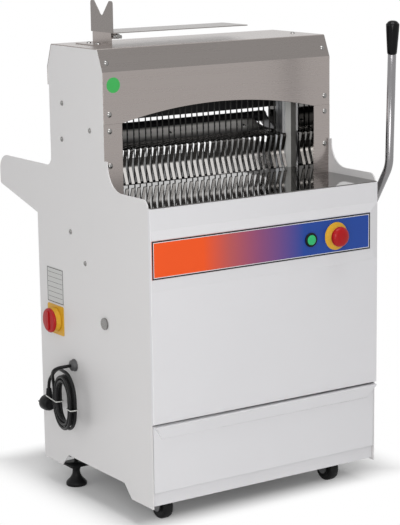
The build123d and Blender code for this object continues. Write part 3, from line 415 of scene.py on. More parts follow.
# Solids that stay in sight and look other than their slot
finishOf = {
    # the bag tray takes the darker steel, painted shade
    "front_table": "mirror_steel", "column_liners": "mirror_steel", "bag_tray": "shaded_facet_steel",
    # the rear table takes the near-black steel, painted shade
    "rear_table": "shaded_black_steel", "dome_screws": "screw_steel", "lever_shaft": "screw_steel",
    # the rear panel takes the darker white, painted shade
    "rear_panel": "shaded_side_white", "caster_forks": "grey_steel",
}
slotOf = {entry["node"]: entry["material_slot"] for entry in frame["record"]["subparts"]}
for nodeName, node in frame["nodes"].items():
    if not node.material_slots:
        node.data.materials.append(None)
    for place in node.material_slots:
        place.material = material[finishOf.get(nodeName, slotOf[nodeName])]


view = dict(place=(-2376.4, -3325.9, 1418.6), azimuth=-33.389, elevation=11.416, roll=-0.795,
            focalPx=1809.4, heightPx=525, sensor=36.0)


def makeCamera():
    # the photograph's camera
    a, e, r = (math.radians(view[key]) for key in ("azimuth", "elevation", "roll"))
    back = Vector((math.sin(a) * math.cos(e), -math.cos(a) * math.cos(e), math.sin(e)))
    right = (-back).cross(Vector((0, 0, 1))).normalized()
    up = right.cross(-back)
    rolledRight = right * math.cos(r) + up * math.sin(r)
    rolledUp = up * math.cos(r) - right * math.sin(r)
    data = bpy.data.cameras.new("camera")
    data.sensor_fit = "VERTICAL"
    data.sensor_height = view["sensor"]
    data.lens = view["focalPx"] / view["heightPx"] * view["sensor"]
    camera = bpy.data.objects.new("camera", data)
    turn = Matrix((rolledRight, rolledUp, back)).transposed().to_4x4()
    camera.matrix_world = Matrix.Translation(Vector(toFrame(view["place"]))) @ turn
    bpy.context.collection.objects.link(camera)
    bpy.context.scene.camera = camera


makeCamera()


lead = dict(thickness=8.0, exit=(-332.0, 345.0, 325.0), coilMiddle=(-356.0, 335.0, 243.0), yaw=-8.0, outer=56.0,
            straight=24.0, pitch=9.8, layer=10.0, turnsIn=2, squareRun=17.0, neck=(-343.0, 435.5, 252.0),
            intoCoil=[(-346.0, 345.0, 325.0), (-358.0, 352.0, 323.0), (-365.0, 363.5, 317.0),
                      (-364.5, 375.0, 307.5), (-359.5, 385.0, 293.0)],
            toPlug=[(-344.5, 380.0, 312.5), (-341.5, 402.0, 303.0), (-341.0, 421.0, 287.5)])


def coilToMachine(points):
    # the coil's own across, along and up, turned by its yaw about its middle
    a = math.radians(lead["yaw"])
    turn = np.array([[math.cos(a), -math.sin(a), 0], [math.sin(a), math.cos(a), 0], [0, 0, 1]])
    return np.asarray(points) @ turn.T + np.array(lead["coilMiddle"])


def coilPoints(perHalfTurn=8):
    # half turns that step inwards on the first layer, climb, and step outwards on the second, each one
    # middle + reach (cos a along y - sin a along z), with its points set out so that the curve meets the arc
    halfSide = lead["straight"] / 2
    radii = lead["outer"] - np.arange(2 * lead["turnsIn"] + 1) * lead["pitch"] / 2
    layers = np.repeat([-lead["layer"] / 2, lead["layer"] / 2], len(radii))
    radii = np.concatenate([radii, radii[::-1]])
    signs = np.where(np.arange(len(radii)) % 2 == 0, 1, -1)
    out = []
    for k, (across, radius, sign) in enumerate(zip(layers, radii, signs)):
        start = np.array([across, sign * radius, -sign * halfSide])
        if k + 1 == len(radii):  # a quarter turn leads out
            sweep, reach, reachAcross = math.pi / 2, lead["outer"] + lead["pitch"] / 4, 0
            middle = np.array([across, reach - lead["outer"], -sign * halfSide])
        else:
            end = np.array([layers[k + 1], -sign * radii[k + 1], -sign * halfSide])
            middle, sweep = (start + end) / 2, math.pi
            reach, reachAcross = np.linalg.norm(end - start) / 2, (layers[k + 1] - across) / 2
        angles = np.linspace(0, sweep, perHalfTurn + 1)[:-1] + sweep / perHalfTurn / 2
        stretch = 1 / math.cos(sweep / perHalfTurn / 2)
        out.append(np.stack([
            middle[0] - reachAcross * np.cos(angles),
            middle[1] + sign * reach * stretch * np.cos(angles),
            middle[2] - sign * reach * stretch * np.sin(angles),
        ], -1))
    coil = coilToMachine(np.concatenate(out))
    first = coilToMachine([(layers[0], radii[0], halfSide)])[0]
    top = halfSide + lead["outer"] + lead["pitch"] / 4
    last = coilToMachine([(layers[-1], lead["pitch"] / 4 + lead["thickness"], top)])[0]
    heading = coilToMachine([(0, 1, 0)])[0] - np.array(lead["coilMiddle"])
    return first, coil, last, heading


def makeLead():
    first, coil, last, heading = coilPoints()
    up = np.array([0, 0, lead["squareRun"]])
    points = np.concatenate([
        [lead["exit"]], lead["intoCoil"], [first + up, first], coil, [last, last + heading * lead["squareRun"]],
        lead["toPlug"], [np.array(lead["neck"]) + up, lead["neck"]],
    ])
    data = bpy.data.curves.new("mainsLead", "CURVE")
    data.dimensions = "3D"
    data.bevel_depth = lead["thickness"] / 2000
    data.bevel_resolution = 5
    data.resolution_u = 6
    data.use_fill_caps = True
    spline = data.splines.new("NURBS")
    spline.points.add(len(points) - 1)
    spline.points.foreach_set("co", np.concatenate([toFrame(points), np.ones((len(points), 1))], 1).ravel())
    spline.order_u = 3
    spline.use_endpoint_u = True
    return showPiece("mainsLead", data, "cable_black", replaces=("lead_to_coil", "mains_coil", "lead_to_plug"))


def makePlug():
    # round body that narrows to the back, ribbed neck and two pins
    plug = dict(x=-343.0, z=213.0, back=427.0, front=455.0, radius=19.0, pinRadius=2.4, pinLength=19.0,
                pinGap=19.0, neckRadius=7.5, neckTop=252.0, ribs=6, ribPitch=3.4, ribTaper=0.045)
    # shares of the radius, and distances from the back
    shell = [(0, 0), (0.55, 0), (0.75, 1), (0.92, 6), (0.97, 12), (1, 17), (1, 26), (0.96, 28), (0.8, 28),
             (0.78, 26.5), (0, 26.5)]
    x, z, r, neckRadius = plug["x"], plug["z"], plug["radius"], plug["neckRadius"]
    body = turned([(r * share, y) for share, y in shell], (x, plug["back"], z), (0, 1, 0))
    neck = [(0, z), (neckRadius * 1.15, z)]
    for rib in range(plug["ribs"]):
        height = z + r - 1 + rib * plug["ribPitch"]
        wide = neckRadius * (1.12 - plug["ribTaper"] * rib)
        neck += [(wide, height), (wide, height + 2.0), (wide - 0.9, height + 2.3), (wide - 0.9, height + 3.1)]
    neck += [(lead["thickness"] / 2 + 0.7, plug["neckTop"]), (0, plug["neckTop"])]
    neck = turned(neck, (x, lead["neck"][1], 0), (0, 0, 1), 32)
    plugBody = putMesh("plugBody", joined(body, neck), "cable_black", replaces=("mains_plug",))
    softenEdges(plugBody, 0.3)
    r, tip = plug["pinRadius"], plug["pinLength"]
    pin = [(0, 0), (r, 0), (r, tip - 2), (r * 0.6, tip), (0, tip)]
    half, root = plug["pinGap"] / 2, plug["front"] - 1
    pins = [turned(pin, (pinX, root, z), (0, 1, 0), 20) for pinX in (x - half, x + half)]
    return plugBody, putMesh("plugPins", joined(*pins), "screw_steel", slot="polished_steel")


def makeTies():
    # flat bands pulled tight round discs: the coil's front side, and its rear side with the plug's neck. In a
    # direction d a band lies as far out as the farthest disc, s = most of (d . centre + radius), and its point
    # there is s times d plus the slope of s times the direction across d
    tie = dict(width=2.6, thick=1.0, frontZ=235.0, rearZ=234.6, neckReach=7.8, around=96)
    count = tie["around"]
    inner, outer = lead["outer"] - lead["turnsIn"] * lead["pitch"], lead["outer"]
    reach = lead["thickness"] / 2 + 0.3
    angles = np.linspace(0, 2 * math.pi, count, endpoint=False)
    direction = np.stack([np.cos(angles), np.sin(angles)], -1)
    across = np.stack([-np.sin(angles), np.cos(angles)], -1)
    neck = (*lead["neck"][:2], tie["neckReach"])
    bands = []
    for side, level, extra in ((-1, tie["frontZ"], []), (1, tie["rearZ"], [neck])):
        layers = (-lead["layer"] / 2, lead["layer"] / 2)
        corners = coilToMachine([(x, side * y, 0) for x in layers for y in (inner, outer)])
        discs = np.array([(px, py, reach) for px, py, _ in corners] + extra)
        rims = []
        for grow in (0, tie["thick"]):
            far = np.max(direction @ discs[:, :2].T + discs[:, 2] + grow, axis=1)
            slope = (np.roll(far, -1) - np.roll(far, 1)) / (4 * math.pi / count)
            rims.append(direction * far[:, None] + across * slope[:, None])
        low, high = level - tie["width"] / 2, level + tie["width"] / 2
        corners = ((rims[0], low), (rims[1], low), (rims[1], high), (rims[0], high))
        rings = [np.column_stack([rim, np.full(count, z)]) for rim, z in corners]
        bands.append((np.concatenate(rings), gridFaces(4, count, wrapRows=True, wrapCols=True)))
    return putMesh("cableTies", joined(*bands), "tie_white", slot="white_plastic", replaces=("cable_ties",))


mainsLead = makeLead()
plugBody, plugPins = makePlug()
cableTies = makeTies()


def makeGland():
    gland = dict(flange=15.0, nut=13.0, nose=9.5, reach=12.0)
    flange, nut, nose, reach = gland.values()
    profile = [(0, -1), (flange, -1), (flange, 2.6), (flange - 0.8, 3.4), (nut, 3.6), (nut, 8.6),
               (nut - 1, 9.6), (nose, 10.0), (nose - 1, 11.6), (lead["thickness"] / 2 + 1.4, reach), (0, reach)]
    shape = turned(profile, (-halfWidth, *lead["exit"][1:]), (-1, 0, 0), 36)
    putMesh("cableGland", shape, "grey_plastic", replaces=("cable_gland",))


makeGland()
print("bread slicer: mains lead laid")


def makeSidePanels():
    panel = dict(sheet=3.0, edge=0.7, corners=[  # y, z and radius
        (0, panelFoot, 0), (94, panelFoot, 0), (125, 89, 0), (388, 89, 0), (419, panelFoot, 0),
        (508, panelFoot, 0), (508, 674, 0), (698, 724, 8), (698, 797, 38), (432, 797, 22), (432, 990, 0),
        (436, 990, 0), (436, 1031.6, 0), (415.6, 1085, 0), (203.4, 1085, 0), (182, 1034.6, 0), (182, 835, 0),
        (170, 835, 0), (170, 769, 58), (0, 769, 20),
    ])
    corners = panel["corners"]
    outline = roundedLine([c[:2] for c in corners], [c[2] for c in corners], closed=True, steps=12)
    for side, name in ((-1, "left"), (1, "right")):
        shape = prism(outline, 0, side * (halfWidth - panel["sheet"]), side * halfWidth)
        # the side panels take the darker white, painted shade
        piece = putMesh(name + "SidePanel", shape, "shaded_side_white", slot="white_paint",
                        replaces=(name + "_side_panel",), smooth=False)
        softenEdges(piece, panel["edge"])


def makeHood():
    # one bent sheet, the same section at every x from the visor over the top to the rear lip. The visor's lower
    # edge is an arc: z = low + root of (r squared - x squared) - r + arch, where r brings it down to low at the
    # ends of the opening
    hood = dict(low=918.0, arch=31.0, opening=272.0, sheet=2.0, fold=4.0, steps=80, facet=1037.0, section=[
        (180, 960), (180, 1035), (202, 1087), (417, 1087), (438, 1032), (438, 990)])
    arch, opening = hood["arch"], hood["opening"]
    line = roundedLine(hood["section"], [0] + [hood["fold"]] * 4 + [0], steps=4)
    radius = (opening ** 2 + arch ** 2) / (2 * arch)
    x = np.concatenate([[-halfWidth], np.linspace(-opening, opening, hood["steps"] + 1), [halfWidth]])
    lift = np.sqrt(np.clip(radius ** 2 - x ** 2, 0, None)) - radius + arch
    points = np.zeros((len(x), len(line) + 1, 3))
    points[:, :, 0] = x[:, None]
    points[:, 1:, 1:] = line
    points[:, 0, 1], points[:, 0, 2] = line[0, 0], hood["low"] + np.clip(lift, 0, None)
    shape = points.reshape(-1, 3), gridFaces(len(x), len(line) + 1)
    piece = putMesh("hood", shape, "stainless", replaces=("hood",), smooth=False)
    mesh = piece.data
    if mesh.polygons[1].normal.y > 0:
        mesh.flip_normals()
    thicken(piece, hood["sheet"], -1)
    softenEdges(piece, 0.4)
    # the slanted facets get a darker copy of the steel, painted shade
    mesh.materials.append(material["shaded_facet_steel"])
    facetZ = toFrame([(0, 0, hood["facet"])])[0, 2]
    slanted = [face.center.z > facetZ and abs(face.normal.z) < 0.7 for face in mesh.polygons]
    mesh.polygons.foreach_set("material_index", slanted)


def makeHoodRear():
    # the valance below the rear lip, and a black inner sheet with a strip along each side, painted shade for
    # the dark inside of the hood
    rear = dict(half=halfWidth - 3.3, low=890.0, valance=(436.05, 437.95), valanceTop=992.0,
                shadeSheet=(434.6, 436.0), shadeSheetTop=1028.0, side=(420.0, 435.0), sideTop=988.0, sideSheet=2.0,
                sideLap=0.2)
    half, low = rear["half"], rear["low"]
    valance = boxMesh(-half, half, *rear["valance"], low, rear["valanceTop"])
    softenEdges(putMesh("hoodValance", valance, "stainless", smooth=False), 0.6)
    # black sheets inside the hood stand for its shade: painted shade
    shadeSheet = [boxMesh(-half, half, *rear["shadeSheet"], low + 1, rear["shadeSheetTop"])]
    for side in (-1, 1):
        ends = sorted((side * (half - rear["sideSheet"]), side * (half + rear["sideLap"])))
        shadeSheet.append(boxMesh(*ends, *rear["side"], low + 1, rear["sideTop"]))
    softenEdges(putMesh("hoodShadeSheet", joined(*shadeSheet), "black_paint", smooth=False), 0.4)


def makeFrontPanel():
    # a sheet with rounded edges, and the control field raised from it between sloping sides
    panel = dict(low=258.5, high=750.0, edge=1.5, proud=8.0, rise=4.0, lap=2.0, foot=(318, 564, 701),
                 field=(295, 590, 681))
    half, low, high, edge, lap = halfWidth, panel["low"], panel["high"], panel["edge"], panel["lap"]
    front = -panel["proud"]
    rings = [(d - half, half - d, low + d, high - d, y) for d, y in (
        (lap, front + lap), (lap, 0), (0, 0), (0, front + edge), (edge / 3, front + edge / 3), (edge, front))]
    rings.append((edge + 0.5 - half, *panel["foot"], front))
    rings.append((edge + 1.0 - half, *panel["field"], front - panel["rise"]))
    shape = nestedRectangles(rings)
    piece = putMesh("frontPanel", shape, "white_paint", replaces=("front_panel",), smooth=False)
    softenEdges(piece, 1.2, segments=3, angle=8)


def makeControlStrip():
    # the printed strip, with a black edge and a white line inside it
    strip = dict(left=-319.0, right=293.0, low=592.0, high=679.0, back=-11.5, front=-13.0)
    borders = (("stripEdge", "label_ink", 3.4), ("stripLine", "label_white", 1.3))

    def inset(d):
        return strip["left"] + d, strip["right"] - d, strip["low"] + d, strip["high"] - d

    front = strip["front"]
    body = nestedRectangles([(*inset(0), strip["back"]), (*inset(0), front)])
    putMesh("controlStrip", body, "printed_strip", replaces=("control_strip",), smooth=False)
    outer = 0.0
    for name, finish, width in borders:
        shape = rectangleFrame(inset(outer), inset(outer + width), front + 0.1, front - 0.2)
        putMesh(name, shape, finish, slot="printed_strip", smooth=False)
        outer += width


def makeTrayClamp():
    # thumb screw with two ears that clamps the bag tray to its bracket
    clamp = dict(shank=[(0, 0), (3, 0), (3, 15), (5.5, 15.3), (6, 16), (6, 20), (5, 21.5), (0, 21.8)],
                 ear=[(1, -4), (11, -6.9), (11, 2), (1, 4)], earRadii=[0, 3, 3, 0], earFront=21, earBack=18)
    low, high = (np.array(c) * 1000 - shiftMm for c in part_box("tray_clamp"))
    x, _, z = (low + high) / 2
    back = high[1]
    shapes = [turned(clamp["shank"], (x, back - 1, z), (0, -1, 0), 24)]
    for side in (-1, 1):
        ear = roundedLine(clamp["ear"], clamp["earRadii"], closed=True, steps=5) * np.array([side, 1])
        shapes.append(prism(ear + np.array([x, z]), 1, back - clamp["earFront"], back - clamp["earBack"]))
    piece = putMesh("trayClamp", joined(*shapes), "screw_steel", slot="black_plastic",
                    replaces=("tray_clamp",), smooth=False)
    softenEdges(piece, 0.5)


def makeDrawer():
    # face and box, with a bent lip that stands off the face, and a dark strip under it as painted shadow
    drawer = dict(half=316.2, low=95.2, high=254.0, face=2.0, reach=14.9, drop=33.0, mitre=22.0, proud=3.2,
                  lipShadow=1.1)
    box = dict(half=304.0, back=420.0, low=98.0, high=240.0, wall=1.5)
    half, high, mitre = drawer["half"], drawer["high"], drawer["mitre"]
    lipLow, reach = high - drawer["drop"], drawer["reach"]
    section = [(0, high), (-reach, high), (-reach - 0.05, high - 2.5), (-drawer["proud"], lipLow + 0.9),
               (0, lipLow + 1.1)]
    insets = [0, 0, 1.5, mitre, mitre - 1]
    lip, lipFaces = prism(section, 0, -half, half)
    lip[:, 0] -= np.sign(lip[:, 0]) * np.tile(insets, 2)
    side, back, low, top, wall = box.values()
    front = drawer["face"]
    shapes = [
        boxMesh(-half, half, 0, front, drawer["low"], high),
        (lip, lipFaces),
        boxMesh(-side, side, front, back, low, low + wall),
        boxMesh(-side, wall - side, front, back, low + wall, top),
        boxMesh(side - wall, side, front, back, low + wall, top),
        boxMesh(wall - side, side - wall, back - wall, back, low + wall, top),
    ]
    piece = putMesh("crumbDrawer", joined(*shapes), "white_paint", body="drawer", replaces=("crumb_drawer",),
                    smooth=False)
    softenEdges(piece, 0.6)
    # a grey strip under the lip: painted shadow
    lipShadow = boxMesh(mitre - half, half - mitre, -0.4, 1.0, lipLow, lipLow + drawer["lipShadow"])
    putMesh("drawerLipShadow", lipShadow, "lip_shadow_grey", body="drawer", slot="white_paint", smooth=False)


makeSidePanels()
makeHood()
makeHoodRear()
makeFrontPanel()
makeControlStrip()
makeTrayClamp()
makeDrawer()
print("bread slicer: covers made")


def makeButtons():
    # turned pieces on the strip: radius, and distance along y from the strip's face
    face = -13.0
    start, stop = (117.0, face, 633.0), (191.0, face, 634.0)
    bezel = [(12.4, 1), (12.4, -3.2), (13, -4), (14.5, -4.3), (16.4, -3.2), (17, -1.5), (17, 1), (12.4, 1)]
    cap = [(0, -5.9), (8, -5.9), (10.8, -5.6), (11.7, -4.8), (12, -3.9), (12, -3.1), (0, -3.1)]
    disc = [(8.3, 0), (8.3, -4.2), (12.5, -4.2), (13.6, -3.8), (14, -3.2), (14.4, -1.9), (32.4, -1.5),
            (33, -1.0), (33, 0), (8.3, 0)]
    head = [(0, 2), (8, 2), (8, -8.6), (16, -8.8), (21.0, -10.2), (23.4, -12.4), (23.9, -15.4), (23.2, -19.2),
            (20.6, -23.0), (15.6, -25.4), (8.5, -26.5), (0, -26.8)]
    for name, profile, centre, segments, finish, body, node in (
        ("buttonBezel", bezel, start, 48, "black_plastic", "root", "button_bezel"),
        ("startButton", cap, start, 48, "green_plastic", "start", "start_button"),
        ("stopDisc", disc, stop, 64, "yellow_plastic", "root", "estop_disc"),
        ("stopHead", head, stop, 64, "red_plastic", "estop", "estop_head"),
    ):
        putMesh(name, turned(profile, centre, (0, 1, 0), segments), finish, body=body, replaces=(node,))


def makeSwitch():
    # yellow plate, and a skirt and a red knob with a bar that turn on it
    switch = dict(y=429.0, z=422.0, plate=(38.5, 36.0, 5), plateX=-322.0, radius=32.0, back=-322.3, thick=14.0,
                  bar=(6, 24, 5.6), barLow=10.0, barHigh=6.0)
    place, back = (switch["y"], switch["z"]), switch["back"]
    plate = prism(roundedRectangle(place, *switch["plate"]), 0, -halfWidth, switch["plateX"])
    softenEdges(putMesh("switchPlate", plate, "yellow_plastic", replaces=("switch_plate",), smooth=False), 0.5)
    r, t = switch["radius"], switch["thick"]
    skirt = [(0, 0), (r - 2, 0), (r - 2.4, 3), (r - 4, 11), (r - 4, t - 0.5), (0, t - 0.5)]
    putMesh("switchSkirt", turned(skirt, (back, *place), (-1, 0, 0), 56), "yellow_plastic", body="switch")
    disc = [(0, t - 1), (r - 4, t - 1), (r - 2.6, t - 0.4), (r - 2, t + 1.2), (r - 2.2, t + 4),
            (r - 3.6, t + 6), (r - 6, t + 6.6), (0, t + 6.6)]
    disc = turned(disc, (back, *place), (-1, 0, 0), 64)
    low, high = back - t - switch["barLow"], back - t - switch["barHigh"]
    bar = prism(roundedRectangle(place, *switch["bar"]), 0, high, low)
    knob = putMesh("switchKnob", joined(disc, bar), "red_plastic", body="switch", replaces=("switch_knob",))
    softenEdges(knob, 1.2, segments=3)


def makeLabels():
    # plain round sticker on the hood, and the rating plate's frame and empty rows
    sticker = dict(middle=(-293.0, 1006.0), half=17.5, radius=17.4, front=179.85, back=180.0)
    outline = roundedRectangle(sticker["middle"], sticker["half"], sticker["half"], sticker["radius"], steps=12)
    putMesh("roundLabel", prism(outline, 1, sticker["front"], sticker["back"]), "green_label",
            slot="green_plastic", smooth=False)
    rating = dict(outer=(390.5, 466.5, 463.5, 547.5), inner=(392, 465, 465, 546), back=-halfWidth - 0.7,
                  front=-halfWidth - 0.95, row=(394, 463), rows=range(476, 537, 12), thick=0.8)
    back, front = rating["back"], rating["front"]
    points, faces = rectangleFrame(rating["outer"], rating["inner"], back, front)
    shapes = [(points[:, [1, 0, 2]], faces)]  # y and x change places, because the plate faces left
    shapes += [boxMesh(front, back, *rating["row"], z, z + rating["thick"]) for z in rating["rows"]]
    putMesh("ratingLines", joined(*shapes), "label_ink", slot="silver_label", smooth=False)


makeButtons()
makeSwitch()
makeLabels()
print("bread slicer: controls made")


def makeComb():
    # bent strips that stand between the blades, on a bar behind them
    comb = dict(count=33, pitch=16.5, width=8.0, thick=3.0, bar=(-280, 280, 345, 353, 833.5, 845.5),
                line=[(346, 839.5), (288.5, 839.5), (300.5, 795), (286.5, 757)], radii=[0, 4, 22, 0])
    line = roundedLine(comb["line"], comb["radii"], steps=7)
    tangent = np.gradient(line, axis=0)
    tangent /= np.linalg.norm(tangent, axis=1)[:, None]
    offset = np.stack([tangent[:, 1], -tangent[:, 0]], -1) * comb["thick"] / 2
    section, faces = prism(np.concatenate([line + offset, (line - offset)[::-1]]), 0, -comb["width"] / 2,
                           comb["width"] / 2)
    places = (np.arange(comb["count"]) - (comb["count"] - 1) / 2) * comb["pitch"]
    fingers = [(section + np.array([x, 0, 0]), faces) for x in places]
    piece = putMesh("pusherFingers", joined(*fingers, boxMesh(*comb["bar"])), "finger_highlight_steel", body="pusher",
                    slot="polished_steel", replaces=("pusher_comb",), smooth=False, weld=1e-7)
    # the sides only mirror each other, so they take near-black steel, painted shade
    piece.data.materials.append(material["shaded_black_steel"])
    sideways = [abs(face.normal.x) > 0.9 for face in piece.data.polygons]
    piece.data.polygons.foreach_set("material_index", sideways)


def makeGuard():
    # curved sheet behind the fingers: y = y0 + r sin a, z = z0 + r - r cos a, narrower as a grows
    guard = dict(radius=62.0, angle=55.0, half=268.0, mitre=28.0, y0=345.0, z0=845.5, sheet=1.5, rows=15,
                 cols=9, screwAngle=33.0, screwX=(-17.0, 203.0),
                 screw=[(0, -0.5), (5, -0.5), (5, 1.0), (3.8, 2.6), (2, 3.2), (0, 3.3)])

    def onArc(a):
        return guard["y0"] + guard["radius"] * np.sin(a), guard["z0"] + guard["radius"] * (1 - np.cos(a))

    rows, cols = guard["rows"], guard["cols"]
    reach = guard["half"] - guard["mitre"] * np.linspace(0, 1, rows)
    points = np.zeros((rows, cols, 3))
    points[:, :, 0] = reach[:, None] * np.linspace(-1, 1, cols)
    points[:, :, 1:] = np.stack(onArc(np.radians(np.linspace(0, guard["angle"], rows))), -1)[:, None]
    piece = putMesh("pusherGuard", (points.reshape(-1, 3), gridFaces(rows, cols)), "guard_highlight_steel", body="pusher",
                    slot="polished_steel", replaces=("pusher_guard",))
    thicken(piece, guard["sheet"], 1 if piece.data.polygons[0].normal.z > 0 else -1)
    a = math.radians(guard["screwAngle"])
    out = (0, -math.sin(a), math.cos(a))
    screws = [turned(guard["screw"], (x, *onArc(a)), out, 24) for x in guard["screwX"]]
    putMesh("guardScrews", joined(*screws), "polished_steel", body="pusher")


def makeBlades():
    # upright strips whose front edge is scalloped: y = front + tooth (1 - size of sin (pi z / pitch))
    blade = dict(count=32, pitch=16.5, thick=0.8, depth=6.0, bevel=2.0, toothPitch=10.0, tooth=0.9, low=715.0,
                 high=955.0, steps=144)
    z = np.linspace(blade["low"], blade["high"], blade["steps"] + 1)
    wave = np.abs(np.sin(math.pi * (z - blade["low"]) / blade["toothPitch"]))
    half, depth = blade["thick"] / 2, blade["depth"] / 2
    faces = gridFaces(len(z), 5, wrapCols=True).tolist()
    last = 5 * (len(z) - 1)
    faces += [[0, 1, 2, 3, 4], [last + i for i in range(5)]]
    for letter, body, first, middle in (("A", "blades_front", 0, 318.7), ("B", "blades_rear", 1, 321.3)):
        front = middle - depth + blade["tooth"] * (1 - wave)
        flat, back = front + blade["bevel"], np.full_like(z, middle + depth)
        ring = np.zeros((len(z), 5, 3))
        ring[:, :, 0] = np.array([0, half, half, -half, -half])
        ring[:, :, 1] = np.stack([front, flat, back, back, flat], -1)
        ring[:, :, 2] = z[:, None]
        places = (np.arange(first, blade["count"], 2) - (blade["count"] - 1) / 2) * blade["pitch"]
        shapes = [(ring.reshape(-1, 3) + np.array([x, 0, 0]), faces) for x in places]
        putMesh("blades" + letter, joined(*shapes), "blade_steel", body=body,
                replaces=("blades_" + letter.lower(),), smooth=False)


def makePushTube():
    # dark sleeve over the tube behind the guard, with a turned collar at each end
    tube = dict(y=415.0, z=872.0, radius=13.25, half=279.5, collar=0.6)
    r, half, collar = tube["radius"], tube["half"], tube["radius"] + tube["collar"]
    profile = [(0, -half), (r, -half), (collar, 1 - half), (collar, 9 - half), (r, 10 - half), (r, half - 10),
               (collar, half - 9), (collar, half - 1), (r, half), (0, half)]
    putMesh("pushTubeSleeve", turned(profile, (0, tube["y"], tube["z"]), (1, 0, 0), 40), "black_plastic",
            body="pusher")


makeComb()
makeGuard()
makeBlades()
makePushTube()
print("bread slicer: slicing chamber made")


def makeLever():
    # tube with one bend on a turned hub, and a grip that swells towards its domed end
    lever = dict(x=350.0, pivot=(195.0, 455.0), bend=(-13.0, 785.0), bendRadius=70.0, top=(-23.0, 1130.0),
                 tube=10.0, tubeEnd=9.0,
                 hub=[(0, -16), (16.6, -16), (18, -14.6), (18, 14.6), (16.6, 16), (0, 16)],
                 grip=[(0, -78), (10.8, -78), (11.5, -77.2), (12.4, -66), (13.8, -46), (15.3, -24), (15.9, -13),
                       (15.9, -9), (14.8, -7), (13.2, -5.8), (12.0, -3.8), (9.0, -1.6), (5.0, -0.4), (0, 0)])
    top, bend, x = np.array(lever["top"]), np.array(lever["bend"]), lever["x"]
    unit = (top - bend) / np.linalg.norm(top - bend)
    corners = [lever["pivot"], bend, top - unit * lever["tubeEnd"]]
    line = roundedLine(corners, [0, lever["bendRadius"], 0], steps=16)
    path = np.insert(line, 0, x, axis=1)
    tube = tubeInPlane(path, lever["tube"])
    hub = turned(lever["hub"], (x, *lever["pivot"]), (1, 0, 0))
    putMesh("leverTube", joined(tube, hub), "tube_steel", body="lever", slot="grey_steel",
            replaces=("lever_tube",))
    putMesh("leverGrip", turned(lever["grip"], (x, *top), (0, *unit)), "grip_plastic", body="lever",
            replaces=("lever_grip",))


def makeWheels():
    wheel = dict(x=242.0, y=88.0, radius=33.0, width=24.0, bore=4.05)
    half, r, bore = wheel["width"] / 2, wheel["radius"], wheel["bore"]
    side = [(bore, 0), (9, 0), (9.5, 1), (20, 2.5), (23, 1), (25, 0), (r - 4, 0), (r - 1.2, 1.6), (r, 5)]
    profile = [(radius, d - half) for radius, d in side] + [(radius, half - d) for radius, d in side[::-1]]
    for side, name in ((-1, "left"), (1, "right")):
        shape = turned(profile + [profile[0]], (side * wheel["x"], wheel["y"], r), (1, 0, 0), 56)
        putMesh("casterWheel" + name.capitalize(), shape, "wheel_rubber", body="wheel_" + name,
                replaces=("caster_wheel_" + name,))


def makeFeet():
    # domed levelling feet with threaded stems, and the plate that each stem passes
    foot = dict(x=283.0, y=418.0, plate=25.0, corner=6, plateLow=51.0, plateHigh=57.5, stem=5.0, root=4.4,
                thread=(60, 76, 2.0))
    dome = [(0, 0), (24.6, 0), (25.6, 1.2), (25.6, 6.0), (24.8, 8.5), (22, 12), (17.5, 16.5), (13.5, 21.5),
            (10.8, 27), (9.6, 32), (9.4, 40), (10.6, 41), (10.6, 49.9), (5, 50.1), (5, 58)]
    thread = [turn for z in np.arange(*foot["thread"]) for turn in ((foot["stem"], z), (foot["root"], z + 1.0))]
    profile = dome + thread + [(5, 77), (9, 77), (9, 85), (0, 85)]
    places = [(side * foot["x"], foot["y"]) for side in (-1, 1)]
    feet = [turned(profile, (*place, 0), (0, 0, 1), 40) for place in places]
    half = foot["plate"]
    feet += [prism(roundedRectangle(place, half, half, foot["corner"]), 2, foot["plateLow"], foot["plateHigh"])
             for place in places]
    putMesh("rearFeet", joined(*feet), "foot_plastic", replaces=("rear_feet",))


makeLever()
makeWheels()
makeFeet()
print("bread slicer: lever and feet made")


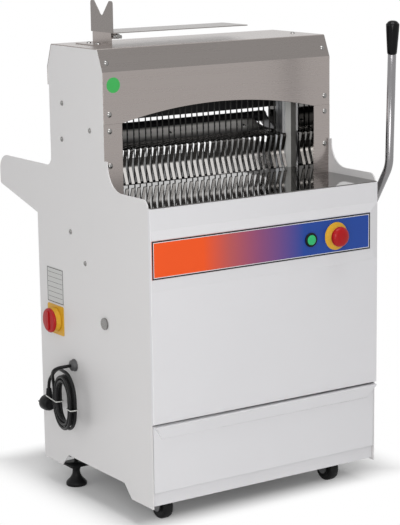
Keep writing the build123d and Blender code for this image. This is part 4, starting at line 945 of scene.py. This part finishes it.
def makeStage():
    # floor that looks pure white to the camera and in mirrors, except near the machine, where its own shading
    # shows the shadow. The share is the larger of the distances from the middle over the shadow's half width
    # and half depth
    stage = dict(half=30.0, middle=(0.03, 0.06), reach=(0.38, 0.32), near=0.86, far=1.25, shade=0.06,
                 colour=0.97)
    h = stage["half"]
    mesh = bpy.data.meshes.new("studioFloor")
    mesh.from_pydata([(-h, -h, 0), (h, -h, 0), (h, h, 0), (-h, h, 0)], [], [(0, 1, 2, 3)])
    floor = bpy.data.objects.new("studioFloor", mesh)
    bpy.context.collection.objects.link(floor)
    finish, tree, shader = startMaterial("studioFloorFinish")
    setInputs(tree, shader, {
        "Base Color": (*[stage["colour"]] * 3, 1), "Roughness": 0.9, "Specular IOR Level": 0.1})
    axes = objectAxes(tree)
    shares = []
    for axis, middle, reach in zip("XY", stage["middle"], stage["reach"]):
        distance = calculate(tree, "ABSOLUTE", calculate(tree, "SUBTRACT", axes[axis], middle))
        shares.append(calculate(tree, "DIVIDE", distance, reach))
    away = mapRange(tree, calculate(tree, "MAXIMUM", *shares), stage["near"], stage["far"], stage["shade"],
                    interpolation_type="SMOOTHSTEP")
    white = addNode(tree, "Emission", {"Color": (1, 1, 1, 1)})
    strength = calculate(tree, "MULTIPLY", seenOrMirrored(tree), away)
    mix = addNode(tree, "MixShader", {0: strength, 1: shader.outputs[0], 2: white.outputs[0]})
    setInputs(tree, tree.nodes["Material Output"], {"Surface": mix.outputs[0]})
    mesh.materials.append(finish)


def makeLight():
    # white surroundings, dimmer as light than to the eye, and three round lamps
    light = dict(diffuse=0.38, seen=1.0, lamps=(
        dict(name="keyLamp", place=(-2.0, -2.9, 1.35), target=(-0.1, -0.3, 0.75), size=2.0, power=50.0),
        dict(name="topLamp", place=(-0.2, -0.8, 4.2), target=(0, 0, 0.8), size=2.4, power=66.0),
        dict(name="sideLamp", place=(-3.6, 0.2, 2.0), target=(0, 0, 0.6), size=2.2, power=12.0),
    ))
    world = bpy.data.worlds.new("studio")
    bpy.context.scene.world = world
    world.use_nodes = True
    tree = world.node_tree
    lit = tree.nodes["Background"]
    setInputs(tree, lit, {"Color": (1, 1, 1, 1), "Strength": light["diffuse"]})
    seen = addNode(tree, "Background", {"Color": (1, 1, 1, 1), "Strength": light["seen"]})
    mix = addNode(tree, "MixShader", {0: seenOrMirrored(tree), 1: lit.outputs[0], 2: seen.outputs[0]})
    setInputs(tree, tree.nodes["World Output"], {"Surface": mix.outputs[0]})
    for lamp in light["lamps"]:
        data = bpy.data.lights.new(lamp["name"], "AREA")
        data.shape = "DISK"
        data.size = lamp["size"]
        data.energy = lamp["power"]
        place = Vector(lamp["place"])
        turn = (Vector(lamp["target"]) - place).to_track_quat("-Z", "Y").to_matrix().to_4x4()
        item = bpy.data.objects.new(lamp["name"], data)
        item.matrix_world = Matrix.Translation(place) @ turn
        bpy.context.collection.objects.link(item)
    bpy.context.scene.view_settings.view_transform = "Standard"


makeStage()
makeLight()
print("bread slicer: stage and light set")
